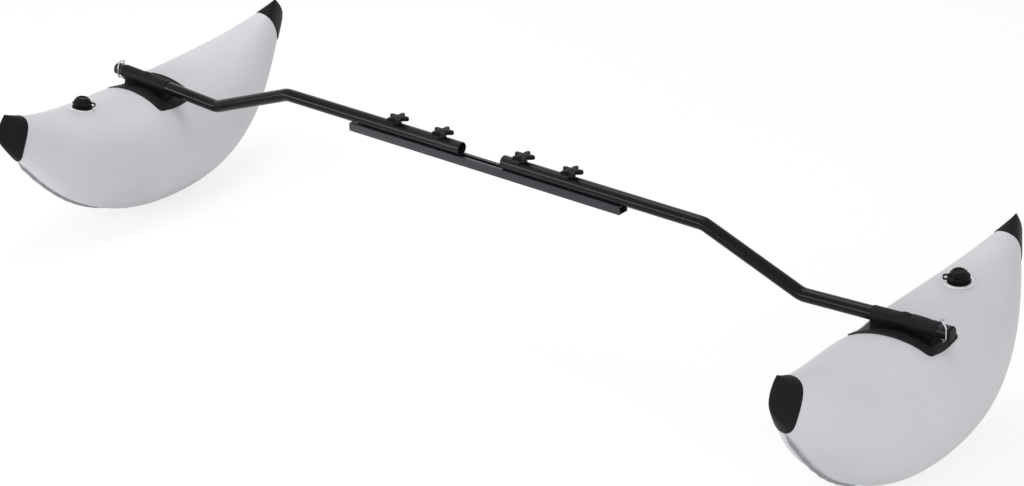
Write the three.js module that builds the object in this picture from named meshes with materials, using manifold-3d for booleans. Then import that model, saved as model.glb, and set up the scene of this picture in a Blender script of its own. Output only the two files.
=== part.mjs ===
// Kayak outrigger: two inflatable floats on a pair of bent tube arms, which slide on a base rail.
// Millimetres, +Z up. X runs along the arms and Y along the floats, whose keels stand on Z = 0.
// The right side is modelled once, with the arm's inner stretch on the X axis, and the left side
// is the same side turned half round.
import * as THREE from 'three';
import { mergeVertices } from 'three/addons/utils/BufferGeometryUtils.js';
import Module from 'manifold-3d';

const wasm = await Module();
wasm.setup();

// Clearances, how far a cut runs past what it cuts, and how finely round things are drawn
const gap = 0.3;
const overrun = 6;
const weldTolerance = 0.0001;
const roundSideCount = 20;
const smallSideCount = 14;
const wireSideCount = 8;

// Arm: a tube with an inner stretch on the rail, a drop to the elbow and a slightly rising end
const tubeRadius = 14;
const tubeWall = 1.5;
const armInnerEnd = 55.7;
const shoulderX = 550.9;
const elbowX = 776.3;
const armDrop = 83.6;
const outerSlope = THREE.MathUtils.degToRad(3.12);
const armBendRadius = 50;
const armBendStep = THREE.MathUtils.degToRad(5);

// Float's place on the arm and its tilt from end to end, and the tube's end past the float's middle
const floatX = 996.6;
const floatTrim = THREE.MathUtils.degToRad(-1);
const tubeOverhang = 97;
const endCapFlange = 2.5;
const endCapPlug = 14;
const endCapCrown = 1.5;

// Base rail: a channel with a slot along its top
const railLength = 716;
const railWidth = 28;
const railHeight = 18;
const railWall = 2;
const slotWidth = 9;
const railHoleRadius = 2.75;
const railHoleInset = 28;
const railHoleSpacing = 290;

// Knobs, their studs and the nuts in the rail
const knobPlaces = [107, 230];
const knobTipRadius = 24.5;
const knobValleyRadius = 16.5;
const knobNeckRadius = 8.5;
const knobNeckHeight = 4.5;
const knobPlateHeight = 10;
const knobBevel = 1.6;
const knobRoof = 3.5;
const knobLobeCount = 5;
const knobLobeStepCount = 6;
const knobPhase = THREE.MathUtils.degToRad(25);
const studRadius = 3;
const nutLength = 18;
const nutWidth = 14;
const nutHeight = 5;
const studReach = 2;

// Float: its lines as heights over length, the deck's dip under the sleeve, and its section's fullness
const floatHalfLength = 421.6;
const halfBeam = 149;
const keelDepth = 268.3;
const deckDip = 9;
const deckDipShare = 0.1;
const deckSheer = 49.6;
const tipFlick = 23.2;
const stemHeight = 57;
const stemBulge = 21.5;
const stemHalfWidth = 1;
const sheerPowerShare = 2.12;
const flickPowerShare = 4.06;
const keelPowerShares = [2.47, 0.861];
const beamPowerShares = [2.274, 0.907];
const bulgePowerShare = 12;
const topHeavyShare = 0.098;
const topHeavyTaperShare = 0.105;
const squareShare = 0.086;
const skinWall = 1;

// Where the float's sections are taken along its half length, and round half a section
const sectionPlaceShares = [
  0.05, 0.09, 0.14, 0.24, 0.34, 0.44, 0.54, 0.63, 0.72, 0.8, 0.86, 0.91, 0.95, 0.98, 1,
];
const sectionTurnShares = [0, 0.055, 0.11, 0.17, 0.24, 0.33, 0.43, 0.54, 0.65, 0.76, 0.87, 0.95, 1];
const chamberPlaceShares = [0.05, 0.09, 0.14, 0.24, 0.34, 0.44, 0.54, 0.63, 0.72, 0.8, 0.86, 0.91];
const chamberTurnShares = [0, 0.11, 0.24, 0.43, 0.65, 0.87, 1];
const nosePlaceShares = [0.8, 0.86, 0.91, 0.95, 0.98, 1];

// Nose caps: how far in their edge lies at the deck and near the keel, and how far it bows out between
const noseWall = 1.5;
const noseDeckInset = 57.5;
const noseKeelInset = 33;
const noseEdgeBow = 54;
const noseEdgeStepCount = 6;

// Keel seam
const seamWidth = 2.4;
const seamDepth = 5;

// Patch and sleeve on the deck
const patchLength = 178;
const patchWidth = 107;
const patchShift = -3;
const patchCorner = 14;
const patchWall = 1.4;
const patchCornerStepCount = 3;
const sleeveWall = 1.5;
const sleeveLength = 140;
const sleeveShift = 4;
const saddleInset = 5;
const saddleNeckHalfWidth = 9.5;
const saddleNeckDepth = 21;
const saddleSkirtHalfWidth = 24;
const saddleSkirtDepth = 36;
const padLength = 20;
const padWidth = 11;
const padHeight = 2;

// Lock pin and its wire bail
const pinPlace = 80.5;
const pinRadius = 2.5;
const pinHeadRadius = 4.2;
const pinHeadHeight = 6;
const pinTipReach = 8.2;
const pinTipTaper = 1.5;
const rightBailTurn = THREE.MathUtils.degToRad(-30);
const leftBailTurn = THREE.MathUtils.degToRad(120);
const wireRadius = 1.5;
const bailReach = 22;
const bailRise = 9;
const bailLegBend = 2.2;
const bailArchBend = 11;
const bailHookReach = 3.5;
const bailBendStep = THREE.MathUtils.degToRad(22.5);

// Valve, its weld ring, screw cap and tether
const valveY = 203;
const slopeStepShare = 0.05;
const weldRingRadius = 29;
const weldRingWall = 1;
const valveFlangeRadius = 22.5;
const valveFlangeHeight = 4;
const valveNeckRadius = 15;
const valveNeckHeight = 15;
const valveStemRadius = 12;
const valveStemDepth = 18;
const valveBoreRadius = 9;
const valveCapRadius = 19;
const valveCapTop = 24;
const valveCapSkirt = 7.5;
const valveCapGripDepth = 1;
const valveCapGripCount = 12;
const valveCapEdge = 2;
const tetherRingWall = 2.2;
const tetherThickness = 2;
const tetherWidth = 7;
const tetherReach = 33;
const tetherTurn = THREE.MathUtils.degToRad(206.5);
const tetherBend = 4;
const tetherBendStep = THREE.MathUtils.degToRad(30);

// Sizes that follow from those above
const sleeveRadius = tubeRadius + gap + sleeveWall;
const deckSeat = sleeveRadius + gap + patchWall + gap;
const railTop = -Math.sqrt((tubeRadius + gap) ** 2 - (slotWidth / 2) ** 2);
const railFloor = railTop - railHeight + railWall;
const outerRun = floatX - elbowX;
const floatZ = -armDrop + outerRun * Math.tan(outerSlope);
const knobBottom = tubeRadius + gap;
const knobTop = knobBottom + knobNeckHeight + knobPlateHeight;
const pinHeadTop = -tubeRadius - gap;
const bailAxisZ = pinHeadTop - pinHeadHeight / 2;
const bailTopZ = tubeRadius + pinTipReach + gap + wireRadius;
const bailSideY = -(pinHeadRadius + gap + bailLegBend);

// Finishes
const finish = (color, roughness, metalness) => {
  return new THREE.MeshStandardMaterial({ color, roughness, metalness });
};
const finishes = {
  anodised: () => finish(0x2b2c2f, 0.42, 0.6),
  steel: () => finish(0xc3c6ca, 0.25, 1),
  greyPvc: () => finish(0xd2d4d8, 0.5, 0),
  clearPvc: () => finish(0xdedfe2, 0.35, 0),
  blackPvc: () => finish(0x242528, 0.6, 0),
  blackPlastic: () => finish(0x1c1d1f, 0.45, 0),
};

// A closed solid from corners and faces, turned so that its faces point out
function closedSolid(corners, faces) {
  const at = (i) => new THREE.Vector3().fromArray(corners, 3 * i);
  let volume = 0;
  for (let i = 0; i < faces.length; i += 3) {
    volume += at(faces[i]).dot(at(faces[i + 1]).cross(at(faces[i + 2])));
  }
  const turned = volume < 0 ? faces.toReversed() : faces;
  const mesh = new wasm.Mesh({
    numProp: 3,
    vertProperties: Float32Array.from(corners),
    triVerts: Uint32Array.from(turned),
  });
  return new wasm.Manifold(mesh);
}

// Welds a three.js geometry into a closed solid, leaving out faces that have no area
function solid(geometry) {
  const bare = geometry.clone();
  bare.deleteAttribute('normal');
  bare.deleteAttribute('uv');
  const welded = mergeVertices(bare, weldTolerance);
  const index = welded.getIndex().array;
  const faces = [];
  for (let i = 0; i < index.length; i += 3) {
    const [a, b, c] = [index[i], index[i + 1], index[i + 2]];
    if (a !== b && b !== c && c !== a) faces.push(a, b, c);
  }
  return closedSolid(Array.from(welded.getAttribute('position').array), faces);
}

// The geometry of a finished solid
function geometryOf(body) {
  const mesh = body.getMesh();
  const geometry = new THREE.BufferGeometry();
  geometry.setAttribute('position', new THREE.BufferAttribute(mesh.vertProperties, 3));
  geometry.setIndex(new THREE.BufferAttribute(mesh.triVerts, 1));
  geometry.computeVertexNormals();
  return geometry;
}

// Adds a solid to a group as a named mesh
function addPiece(group, name, body, material) {
  const mesh = new THREE.Mesh(geometryOf(body), material);
  mesh.name = name;
  group.add(mesh);
  return mesh;
}

// A regular outline with its first corner on the first axis
function roundOutline(radius, sides) {
  const outline = [];
  for (let i = 0; i < sides; i += 1) {
    const turn = (2 * Math.PI * i) / sides;
    outline.push(new THREE.Vector2(radius * Math.cos(turn), radius * Math.sin(turn)));
  }
  return outline;
}

// An outline in X and Y, extruded from one height to another
function upright(outline, low, high) {
  const options = { depth: high - low, bevelEnabled: false };
  return new THREE.ExtrudeGeometry(new THREE.Shape(outline), options).translate(0, 0, low);
}

// An outline in Y and Z, extruded along X
function lengthwise(outline, start, end) {
  const basis = new THREE.Matrix4();
  basis.makeBasis(new THREE.Vector3(0, 1, 0), new THREE.Vector3(0, 0, 1), new THREE.Vector3(1, 0, 0));
  return upright(outline, start, end).applyMatrix4(basis);
}

// An upright rod
function rod(radius, low, high, sides = smallSideCount) {
  return upright(roundOutline(radius, sides), low, high);
}

// A profile of radius and height points, turned round the upright axis
function turned(profile, sides = roundSideCount) {
  const points = profile.map(([radius, height]) => new THREE.Vector2(radius, height));
  return new THREE.LatheGeometry(points, sides).rotateX(Math.PI / 2);
}

// A path that an extrusion samples at its stations and nowhere else
class StationPath extends THREE.Curve {
  constructor(stations) {
    super();
    this.stations = stations;
  }

  nearest(share) {
    return this.stations[Math.round(share * (this.stations.length - 1))];
  }

  getPoint(share, target = new THREE.Vector3()) {
    return target.copy(this.nearest(share).point);
  }

  getPointAt(share, target = new THREE.Vector3()) {
    return this.getPoint(share, target);
  }

  getTangentAt(share, target = new THREE.Vector3()) {
    return target.copy(this.nearest(share).along);
  }
}

// Stations along straight runs that are joined at their corners by round bends
function bentPath(corners, radii, step) {
  const runs = corners.slice(1).map((corner, i) => corner.clone().sub(corners[i]).normalize());
  const stations = [{ point: corners[0], along: runs[0] }];
  radii.forEach((radius, i) => {
    const turn = runs[i].angleTo(runs[i + 1]);
    const axis = runs[i].clone().cross(runs[i + 1]).normalize();
    const start = corners[i + 1].clone().addScaledVector(runs[i], -radius * Math.tan(turn / 2));
    const centre = start.clone().addScaledVector(axis.clone().cross(runs[i]), radius);
    const count = Math.ceil(turn / step);
    for (let k = 0; k <= count; k += 1) {
      const angle = (turn * k) / count;
      const point = start.clone().sub(centre).applyAxisAngle(axis, angle).add(centre);
      stations.push({ point, along: runs[i].clone().applyAxisAngle(axis, angle) });
    }
  });
  stations.push({ point: corners.at(-1), along: runs.at(-1) });
  return new StationPath(stations);
}

// An outline swept along a path of stations
function swept(outline, path) {
  const options = { steps: path.stations.length - 1, bevelEnabled: false, extrudePath: path };
  return new THREE.ExtrudeGeometry(new THREE.Shape(outline), options);
}

// A closed solid through rings of points, each end closed by a fan
function loft(rings) {
  const sides = rings[0].length;
  const last = (rings.length - 1) * sides;
  const points = rings.flat();
  const faces = [];
  for (let row = 0; row < last; row += sides) {
    for (let k = 0; k < sides; k += 1) {
      const [a, b] = [row + k, row + ((k + 1) % sides)];
      faces.push(a, b, b + sides, a, b + sides, a + sides);
    }
  }
  const middle = (ring) => ring.reduce((sum, p) => sum.add(p), new THREE.Vector3()).divideScalar(sides);
  points.push(middle(rings[0]), middle(rings.at(-1)));
  for (let k = 0; k < sides; k += 1) {
    const next = (k + 1) % sides;
    faces.push(points.length - 2, next, k, points.length - 1, last + k, last + next);
  }
  return closedSolid(points.flatMap((p) => p.toArray()), faces);
}

// Height of the deck's centreline at a share of the float's half length
function deckHeight(share) {
  const out = Math.abs(share);
  const seat = deckDip * Math.exp(-((out / deckDipShare) ** 2));
  return -deckSeat + deckDip - seat + deckSheer * out ** sheerPowerShare + tipFlick * out ** flickPowerShare;
}

// Height of the keel at a share of the float's half length
function keelHeight(share) {
  const stemFoot = deckHeight(1) - stemHeight;
  const depth = keelDepth + deckSeat + stemFoot;
  const [inner, outer] = keelPowerShares;
  return stemFoot - depth * (1 - Math.abs(share) ** inner) ** outer;
}

// A point of the float's skin, or of the surface that lies an even offset out from it
function floatPoint(share, angle, offset = 0) {
  const out = Math.abs(share);
  const [inner, outer] = beamPowerShares;
  const beam = stemHalfWidth + (halfBeam - stemHalfWidth) * (1 - out ** inner) ** outer + offset;
  const deck = deckHeight(share) + offset;
  const keel = keelHeight(share) - offset;
  const lean = (topHeavyShare - topHeavyTaperShare * out ** 2) * Math.cos(angle);
  const fullness = 1 + lean + squareShare * Math.cos(2 * angle);
  const bulge = stemBulge * out ** bulgePowerShare * Math.sin(angle / 2) ** 2;
  return new THREE.Vector3(
    beam * Math.sin(angle) * fullness,
    (floatHalfLength + offset) * share + Math.sign(share) * bulge,
    keel + ((deck - keel) * (1 + Math.cos(angle))) / 2,
  );
}

// Shares from one end of the float to the other
function bothWays(shares) {
  const back = shares.toReversed().map((share) => -share);
  return [...back, 0, ...shares];
}

// A float-shaped solid at an even offset from the skin
function floatSolid(offset, places = bothWays(sectionPlaceShares), turns = sectionTurnShares) {
  const half = turns.map((share) => share * Math.PI);
  const angles = [...half, ...half.slice(1, -1).toReversed().map((angle) => 2 * Math.PI - angle)];
  return loft(places.map((place) => angles.map((angle) => floatPoint(place, angle, offset))));
}

const floatGrown = {
  byGap: floatSolid(gap),
  overPatch: floatSolid(gap + patchWall),
  underSleeve: floatSolid(gap + patchWall + gap),
  overWeldRing: floatSolid(gap + weldRingWall),
  underValve: floatSolid(gap + weldRingWall + gap),
};

// The arm's centreline, from its inner end to a distance past the float's middle
function armPath(startX, overhang) {
  const corners = [
    new THREE.Vector3(startX, 0, 0),
    new THREE.Vector3(shoulderX, 0, 0),
    new THREE.Vector3(elbowX, 0, -armDrop),
    new THREE.Vector3(
      floatX + overhang * Math.cos(outerSlope),
      0,
      floatZ + overhang * Math.sin(outerSlope),
    ),
  ];
  return bentPath(corners, [armBendRadius, armBendRadius], armBendStep);
}

// Places a geometry, made round the tube's outer stretch, on the arm
function onOuterStretch(geometry, overhang) {
  geometry.translate(overhang, 0, 0).rotateY(-outerSlope);
  return geometry.translate(floatX, 0, floatZ);
}

function armTube() {
  const outside = swept(roundOutline(tubeRadius, roundSideCount), armPath(armInnerEnd, tubeOverhang));
  const bore = roundOutline(tubeRadius - tubeWall, roundSideCount);
  const inside = swept(bore, armPath(armInnerEnd - overrun, tubeOverhang + overrun));
  let tube = solid(outside).subtract(solid(inside));
  const through = tubeRadius + overrun;
  for (const place of knobPlaces) {
    tube = tube.subtract(solid(rod(studRadius + gap, -through, through).translate(place, 0, 0)));
  }
  const pinHole = rod(pinRadius + gap, -through, through);
  return tube.subtract(solid(onOuterStretch(pinHole, pinPlace)));
}

function endCap() {
  const plugRadius = tubeRadius - tubeWall - gap;
  const profile = [
    [0, -endCapPlug],
    [plugRadius, -endCapPlug],
    [plugRadius, gap],
    [tubeRadius, gap],
    [tubeRadius, endCapFlange],
    [tubeRadius - endCapCrown, endCapFlange + endCapCrown],
    [0, endCapFlange + endCapCrown],
  ];
  return solid(turned(profile).rotateY(Math.PI / 2));
}

function knob() {
  const outline = [];
  const count = knobLobeCount * knobLobeStepCount;
  for (let i = 0; i < count; i += 1) {
    const turn = (2 * Math.PI * i) / count;
    const lobe = (1 + Math.cos(knobLobeCount * (turn - knobPhase))) / 2;
    const radius = knobValleyRadius + (knobTipRadius - knobBevel - knobValleyRadius) * lobe;
    outline.push(new THREE.Vector2(radius * Math.cos(turn), radius * Math.sin(turn)));
  }
  const plate = new THREE.ExtrudeGeometry(new THREE.Shape(outline), {
    depth: knobPlateHeight - 2 * knobBevel,
    bevelThickness: knobBevel,
    bevelSize: knobBevel,
    bevelSegments: 1,
  });
  plate.translate(0, 0, knobTop - knobPlateHeight + knobBevel);
  const neck = rod(knobNeckRadius, knobBottom, knobTop - knobBevel);
  const bore = rod(studRadius + gap, knobBottom - overrun, knobTop - knobRoof);
  return solid(plate).add(solid(neck)).subtract(solid(bore));
}

function knobStud() {
  return solid(rod(studRadius, railTop - railWall - gap - nutHeight - studReach, knobTop - knobRoof - gap));
}

function slotNut() {
  const top = railTop - railWall - gap;
  const block = new THREE.BoxGeometry(nutLength, nutWidth, nutHeight).translate(0, 0, top - nutHeight / 2);
  const hole = rod(studRadius + gap, top - nutHeight - overrun, top + overrun);
  return solid(block).subtract(solid(hole));
}

function baseRail() {
  const half = [
    [railWidth / 2, railFloor - railWall],
    [railWidth / 2, railTop],
    [slotWidth / 2, railTop],
    [slotWidth / 2, railTop - railWall],
    [railWidth / 2 - railWall, railTop - railWall],
    [railWidth / 2 - railWall, railFloor],
  ];
  const outline = [...half, ...half.toReversed().map(([y, z]) => [-y, z])];
  const points = outline.map(([y, z]) => new THREE.Vector2(y, z));
  let rail = solid(lengthwise(points, -railLength / 2, railLength / 2));
  const outermost = railLength / 2 - railHoleInset;
  for (const place of [outermost, outermost - railHoleSpacing]) {
    for (const side of [-1, 1]) {
      const hole = rod(railHoleRadius, railFloor - railWall - overrun, railFloor + railWall);
      rail = rail.subtract(solid(hole.translate(side * place, 0, 0)));
    }
  }
  return rail;
}

// The deck's place and tilt at the valve, with the valve's axis square to the deck
function valvePlacement() {
  const share = valveY / floatHalfLength;
  const step = share * slopeStepShare;
  const rise = deckHeight(share + step) - deckHeight(share - step);
  const tilt = Math.atan2(rise, 2 * step * floatHalfLength);
  const matrix = new THREE.Matrix4().makeRotationX(tilt);
  return matrix.setPosition(0, valveY, deckHeight(share));
}

function floatSkin(valve) {
  const chamber = floatSolid(-skinWall, bothWays(chamberPlaceShares), chamberTurnShares);
  const hole = rod(valveStemRadius + gap, -valveStemDepth, overrun).applyMatrix4(valve);
  return floatSolid(0).subtract(chamber).subtract(solid(hole));
}

// The side outline, in Y and Z, of all that lies past a nose cap's edge, which bows out to the tip
function noseOutline() {
  const deckEdge = new THREE.Vector2(floatHalfLength - noseDeckInset, deckHeight(1));
  const keelEdge = new THREE.Vector2(floatHalfLength - noseKeelInset, keelHeight(0) / 2);
  const bow = deckEdge.clone().lerp(keelEdge, 1 / 2).add(new THREE.Vector2(noseEdgeBow, 0));
  const edge = new THREE.QuadraticBezierCurve(deckEdge, bow, keelEdge).getPoints(noseEdgeStepCount);
  const past = floatHalfLength + stemBulge + noseWall + overrun;
  const above = deckHeight(1) + noseWall + overrun;
  return [
    ...edge,
    new THREE.Vector2(past, keelEdge.y),
    new THREE.Vector2(past, above),
    new THREE.Vector2(deckEdge.x, above),
  ];
}

// A nose cap at one end of the float
function noseCap(end) {
  const places = nosePlaceShares.map((share) => share * end);
  if (end < 0) places.reverse();
  const outside = floatSolid(gap + noseWall, places);
  const cutter = solid(lengthwise(noseOutline(), -halfBeam, halfBeam));
  const facing = end < 0 ? cutter.mirror([0, 1, 0]) : cutter;
  return outside.subtract(floatGrown.byGap).intersect(facing);
}

function keelSeam() {
  const below = [];
  const inside = [];
  for (const share of bothWays(sectionPlaceShares.slice(0, -1))) {
    const low = floatPoint(share, Math.PI, seamDepth);
    below.push(new THREE.Vector2(low.y, low.z));
    const high = floatPoint(share, Math.PI, -overrun);
    inside.unshift(new THREE.Vector2(high.y, high.z));
  }
  const strip = solid(lengthwise([...below, ...inside], -seamWidth / 2, seamWidth / 2));
  const noses = [1, -1].map((end) => {
    const cutter = solid(lengthwise(noseOutline(), -halfBeam, halfBeam).translate(0, -gap, 0));
    return end < 0 ? cutter.mirror([0, 1, 0]) : cutter;
  });
  return strip.subtract(floatGrown.byGap).subtract(noses[0]).subtract(noses[1]);
}

function deckPatch() {
  const [x, y] = [patchLength / 2 - patchCorner, patchWidth / 2 - patchCorner];
  const outline = new THREE.Shape();
  outline.absarc(x, y, patchCorner, 0, Math.PI / 2);
  outline.absarc(-x, y, patchCorner, Math.PI / 2, Math.PI);
  outline.absarc(-x, -y, patchCorner, Math.PI, (3 * Math.PI) / 2);
  outline.absarc(x, -y, patchCorner, (3 * Math.PI) / 2, 2 * Math.PI);
  const block = upright(outline.getPoints(patchCornerStepCount), -deckSeat - patchLength / 2, overrun);
  return floatGrown.overPatch.subtract(floatGrown.byGap).intersect(solid(block.translate(patchShift, 0, 0)));
}

// The sleeve round the tube, with its saddle down to the patch and a raised pad on top
function sleeve() {
  const [start, end] = [sleeveShift - sleeveLength / 2, sleeveShift + sleeveLength / 2];
  const round = solid(lengthwise(roundOutline(sleeveRadius, roundSideCount), start, end));
  const half = [
    [saddleSkirtHalfWidth, -saddleSkirtDepth],
    [saddleNeckHalfWidth, -saddleNeckDepth],
    [saddleNeckHalfWidth, 0],
  ];
  const outline = [...half, ...half.toReversed().map(([y, z]) => [-y, z])];
  const points = outline.map(([y, z]) => new THREE.Vector2(y, z));
  const saddle = solid(lengthwise(points, start, end - saddleInset));
  const pad = new THREE.BoxGeometry(padLength, padWidth, tubeRadius);
  pad.translate(sleeveShift, 0, sleeveRadius + padHeight - tubeRadius / 2);
  const bore = lengthwise(roundOutline(tubeRadius + gap, roundSideCount), start - overrun, end + overrun);
  const body = round.add(saddle).add(solid(pad));
  return body.subtract(solid(bore)).subtract(floatGrown.underSleeve);
}

function weldRing(valve) {
  const disc = rod(weldRingRadius, -overrun, overrun, roundSideCount).applyMatrix4(valve);
  const hole = rod(valveStemRadius + gap, -2 * overrun, 2 * overrun).applyMatrix4(valve);
  const shell = floatGrown.overWeldRing.subtract(floatGrown.byGap);
  return shell.intersect(solid(disc)).subtract(solid(hole));
}

function valveBody(valve) {
  const flange = rod(valveFlangeRadius, -overrun, valveFlangeHeight, roundSideCount).applyMatrix4(valve);
  const neck = rod(valveNeckRadius, 0, valveNeckHeight, roundSideCount).applyMatrix4(valve);
  const stem = rod(valveStemRadius, -valveStemDepth, valveNeckHeight).applyMatrix4(valve);
  const bore = rod(valveBoreRadius, -valveStemDepth - overrun, valveNeckHeight + overrun).applyMatrix4(valve);
  const above = solid(flange).add(solid(neck)).subtract(floatGrown.underValve);
  return above.add(solid(stem)).subtract(solid(bore));
}

function valveCap(valve) {
  const outline = [];
  const count = valveCapGripCount * 2;
  for (let i = 0; i < count; i += 1) {
    const turn = (2 * Math.PI * i) / count;
    const radius = i % 2 === 0 ? valveCapRadius : valveCapRadius - valveCapGripDepth;
    outline.push(new THREE.Vector2(radius * Math.cos(turn), radius * Math.sin(turn)));
  }
  const skirt = upright(outline, valveCapSkirt, valveCapTop - valveCapEdge).applyMatrix4(valve);
  const crown = turned([
    [0, valveNeckHeight],
    [valveCapRadius - valveCapGripDepth, valveNeckHeight],
    [valveCapRadius - valveCapGripDepth, valveCapTop - valveCapEdge],
    [valveCapRadius - valveCapGripDepth - valveCapEdge, valveCapTop],
    [0, valveCapTop],
  ]).applyMatrix4(valve);
  const hollow = rod(valveNeckRadius + gap, 0, valveNeckHeight + gap, roundSideCount).applyMatrix4(valve);
  return solid(skirt).add(solid(crown)).subtract(solid(hollow));
}

// The tether: a ring round the valve's neck, and a strap that loops out and back to the cap
function valveTether(valve) {
  const ringLow = valveFlangeHeight + gap;
  const ringHigh = valveCapSkirt - gap;
  const ringRadius = valveNeckRadius + gap + tetherRingWall;
  const strapY = valveCapRadius + gap;
  const topZ = (valveCapSkirt + valveCapTop) / 2;
  const lowZ = (ringLow + ringHigh) / 2;
  const corners = [
    new THREE.Vector3(ringRadius - tetherThickness / 2, 0, lowZ),
    new THREE.Vector3(tetherReach, 0, lowZ),
    new THREE.Vector3(tetherReach, 0, topZ),
    new THREE.Vector3(strapY, 0, topZ),
  ];
  const path = bentPath(corners, [tetherBend, tetherBend], tetherBendStep);
  const [x, y] = [tetherThickness / 2, tetherWidth / 2];
  const outline = [[x, y], [-x, y], [-x, -y], [x, -y]].map(([a, b]) => new THREE.Vector2(a, b));
  const strap = swept(outline, path).rotateZ(tetherTurn).applyMatrix4(valve);
  const ring = rod(ringRadius, ringLow, ringHigh, roundSideCount).applyMatrix4(valve);
  const hole = rod(valveNeckRadius + gap, 0, valveCapTop, roundSideCount).applyMatrix4(valve);
  return solid(ring).add(solid(strap)).subtract(solid(hole));
}

function lockPin() {
  const tip = tubeRadius + pinTipReach;
  const profile = [
    [0, pinHeadTop - pinHeadHeight],
    [pinHeadRadius, pinHeadTop - pinHeadHeight],
    [pinHeadRadius, pinHeadTop],
    [pinRadius, pinHeadTop],
    [pinRadius, tip - pinTipTaper],
    [pinRadius - pinTipTaper, tip],
    [0, tip],
  ];
  const across = rod(wireRadius + gap, -pinHeadRadius - overrun, pinHeadRadius + overrun);
  across.rotateX(Math.PI / 2).translate(0, 0, bailAxisZ);
  return solid(turned(profile, smallSideCount)).subtract(solid(across));
}

// The bail: through the pin's head, round one side of the tube and over the pin's tip
function wireBail() {
  const corners = [
    new THREE.Vector3(0, -bailSideY, bailAxisZ),
    new THREE.Vector3(0, bailSideY, bailAxisZ),
    new THREE.Vector3(bailReach, bailSideY, bailAxisZ + bailRise),
    new THREE.Vector3(bailReach, bailSideY, bailTopZ),
    new THREE.Vector3(0, bailSideY, bailTopZ),
    new THREE.Vector3(0, bailHookReach, bailTopZ),
  ];
  const radii = [bailLegBend, bailArchBend, bailArchBend, bailLegBend];
  return solid(swept(roundOutline(wireRadius, wireSideCount), bentPath(corners, radii, bailBendStep)));
}

// Everything that the float carries, in a frame on the tube's axis over the float's middle
function floatAssembly(side) {
  const group = new THREE.Group();
  const valve = valvePlacement();
  group.position.set(floatX, 0, floatZ);
  group.rotation.set(floatTrim, -outerSlope, 0, 'YXZ');
  addPiece(group, `${side}_float_skin`, floatSkin(valve), finishes.greyPvc());
  addPiece(group, `${side}_keel_seam`, keelSeam(), finishes.greyPvc());
  addPiece(group, `${side}_nose_cap_a`, noseCap(1), finishes.blackPvc());
  addPiece(group, `${side}_nose_cap_b`, noseCap(-1), finishes.blackPvc());
  addPiece(group, `${side}_deck_patch`, deckPatch(), finishes.blackPvc());
  addPiece(group, `${side}_sleeve`, sleeve(), finishes.blackPvc());
  addPiece(group, `${side}_weld_ring`, weldRing(valve), finishes.clearPvc());
  addPiece(group, `${side}_valve_body`, valveBody(valve), finishes.blackPlastic());
  addPiece(group, `${side}_valve_cap`, valveCap(valve), finishes.blackPlastic());
  addPiece(group, `${side}_valve_tether`, valveTether(valve), finishes.blackPlastic());
  return group;
}

// The lock pin and its bail, whose arch is turned by an angle round the pin
function lockPinAssembly(side, bailTurn) {
  const stretch = new THREE.Group();
  stretch.position.set(floatX, 0, floatZ);
  stretch.rotation.y = -outerSlope;
  const pin = new THREE.Group();
  pin.position.x = pinPlace;
  pin.rotation.z = bailTurn;
  addPiece(pin, `${side}_lock_pin`, lockPin(), finishes.steel());
  addPiece(pin, `${side}_wire_bail`, wireBail(), finishes.steel());
  stretch.add(pin);
  return stretch;
}

// One arm with all that it carries. turn is its place round the upright axis.
function sideAssembly(side, turn, bailTurn) {
  const group = new THREE.Group();
  group.rotation.z = turn;
  addPiece(group, `${side}_arm`, armTube(), finishes.anodised());
  const cap = addPiece(group, `${side}_arm_end_cap`, endCap(), finishes.blackPlastic());
  cap.position.set(
    floatX + tubeOverhang * Math.cos(outerSlope),
    0,
    floatZ + tubeOverhang * Math.sin(outerSlope),
  );
  cap.rotation.y = -outerSlope;
  knobPlaces.forEach((place, i) => {
    const which = ['inner', 'outer'][i];
    const head = addPiece(group, `${side}_${which}_knob`, knob(), finishes.blackPlastic());
    head.position.x = place;
    head.rotation.z = -turn;
    addPiece(group, `${side}_${which}_stud`, knobStud(), finishes.steel()).position.x = place;
    addPiece(group, `${side}_${which}_slot_nut`, slotNut(), finishes.steel()).position.x = place;
  });
  group.add(lockPinAssembly(side, bailTurn));
  group.add(floatAssembly(side));
  return group;
}

const outrigger = new THREE.Group();
addPiece(outrigger, 'base_rail', baseRail(), finishes.anodised());
outrigger.add(sideAssembly('right', 0, rightBailTurn));
outrigger.add(sideAssembly('left', Math.PI, leftBailTurn));

// Stand the keels on the ground
outrigger.position.z = -new THREE.Box3().setFromObject(outrigger, true).min.z;
outrigger.updateMatrixWorld(true);

export default outrigger;
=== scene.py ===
"""A kayak outrigger: two inflatable floats on a pair of bent tube arms that slide on a base rail.

Metres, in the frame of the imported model: X runs along the arms, Y along the floats, +Z is up and
the keels stand on Z = 0. Each side is made in a frame of its own, with X out along its arm.
"""

import logging
import math
from collections.abc import Callable, Sequence
from dataclasses import dataclass
from enum import Enum

import bmesh
import bpy
import numpy as np
from mathutils import Matrix, Vector


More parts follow.
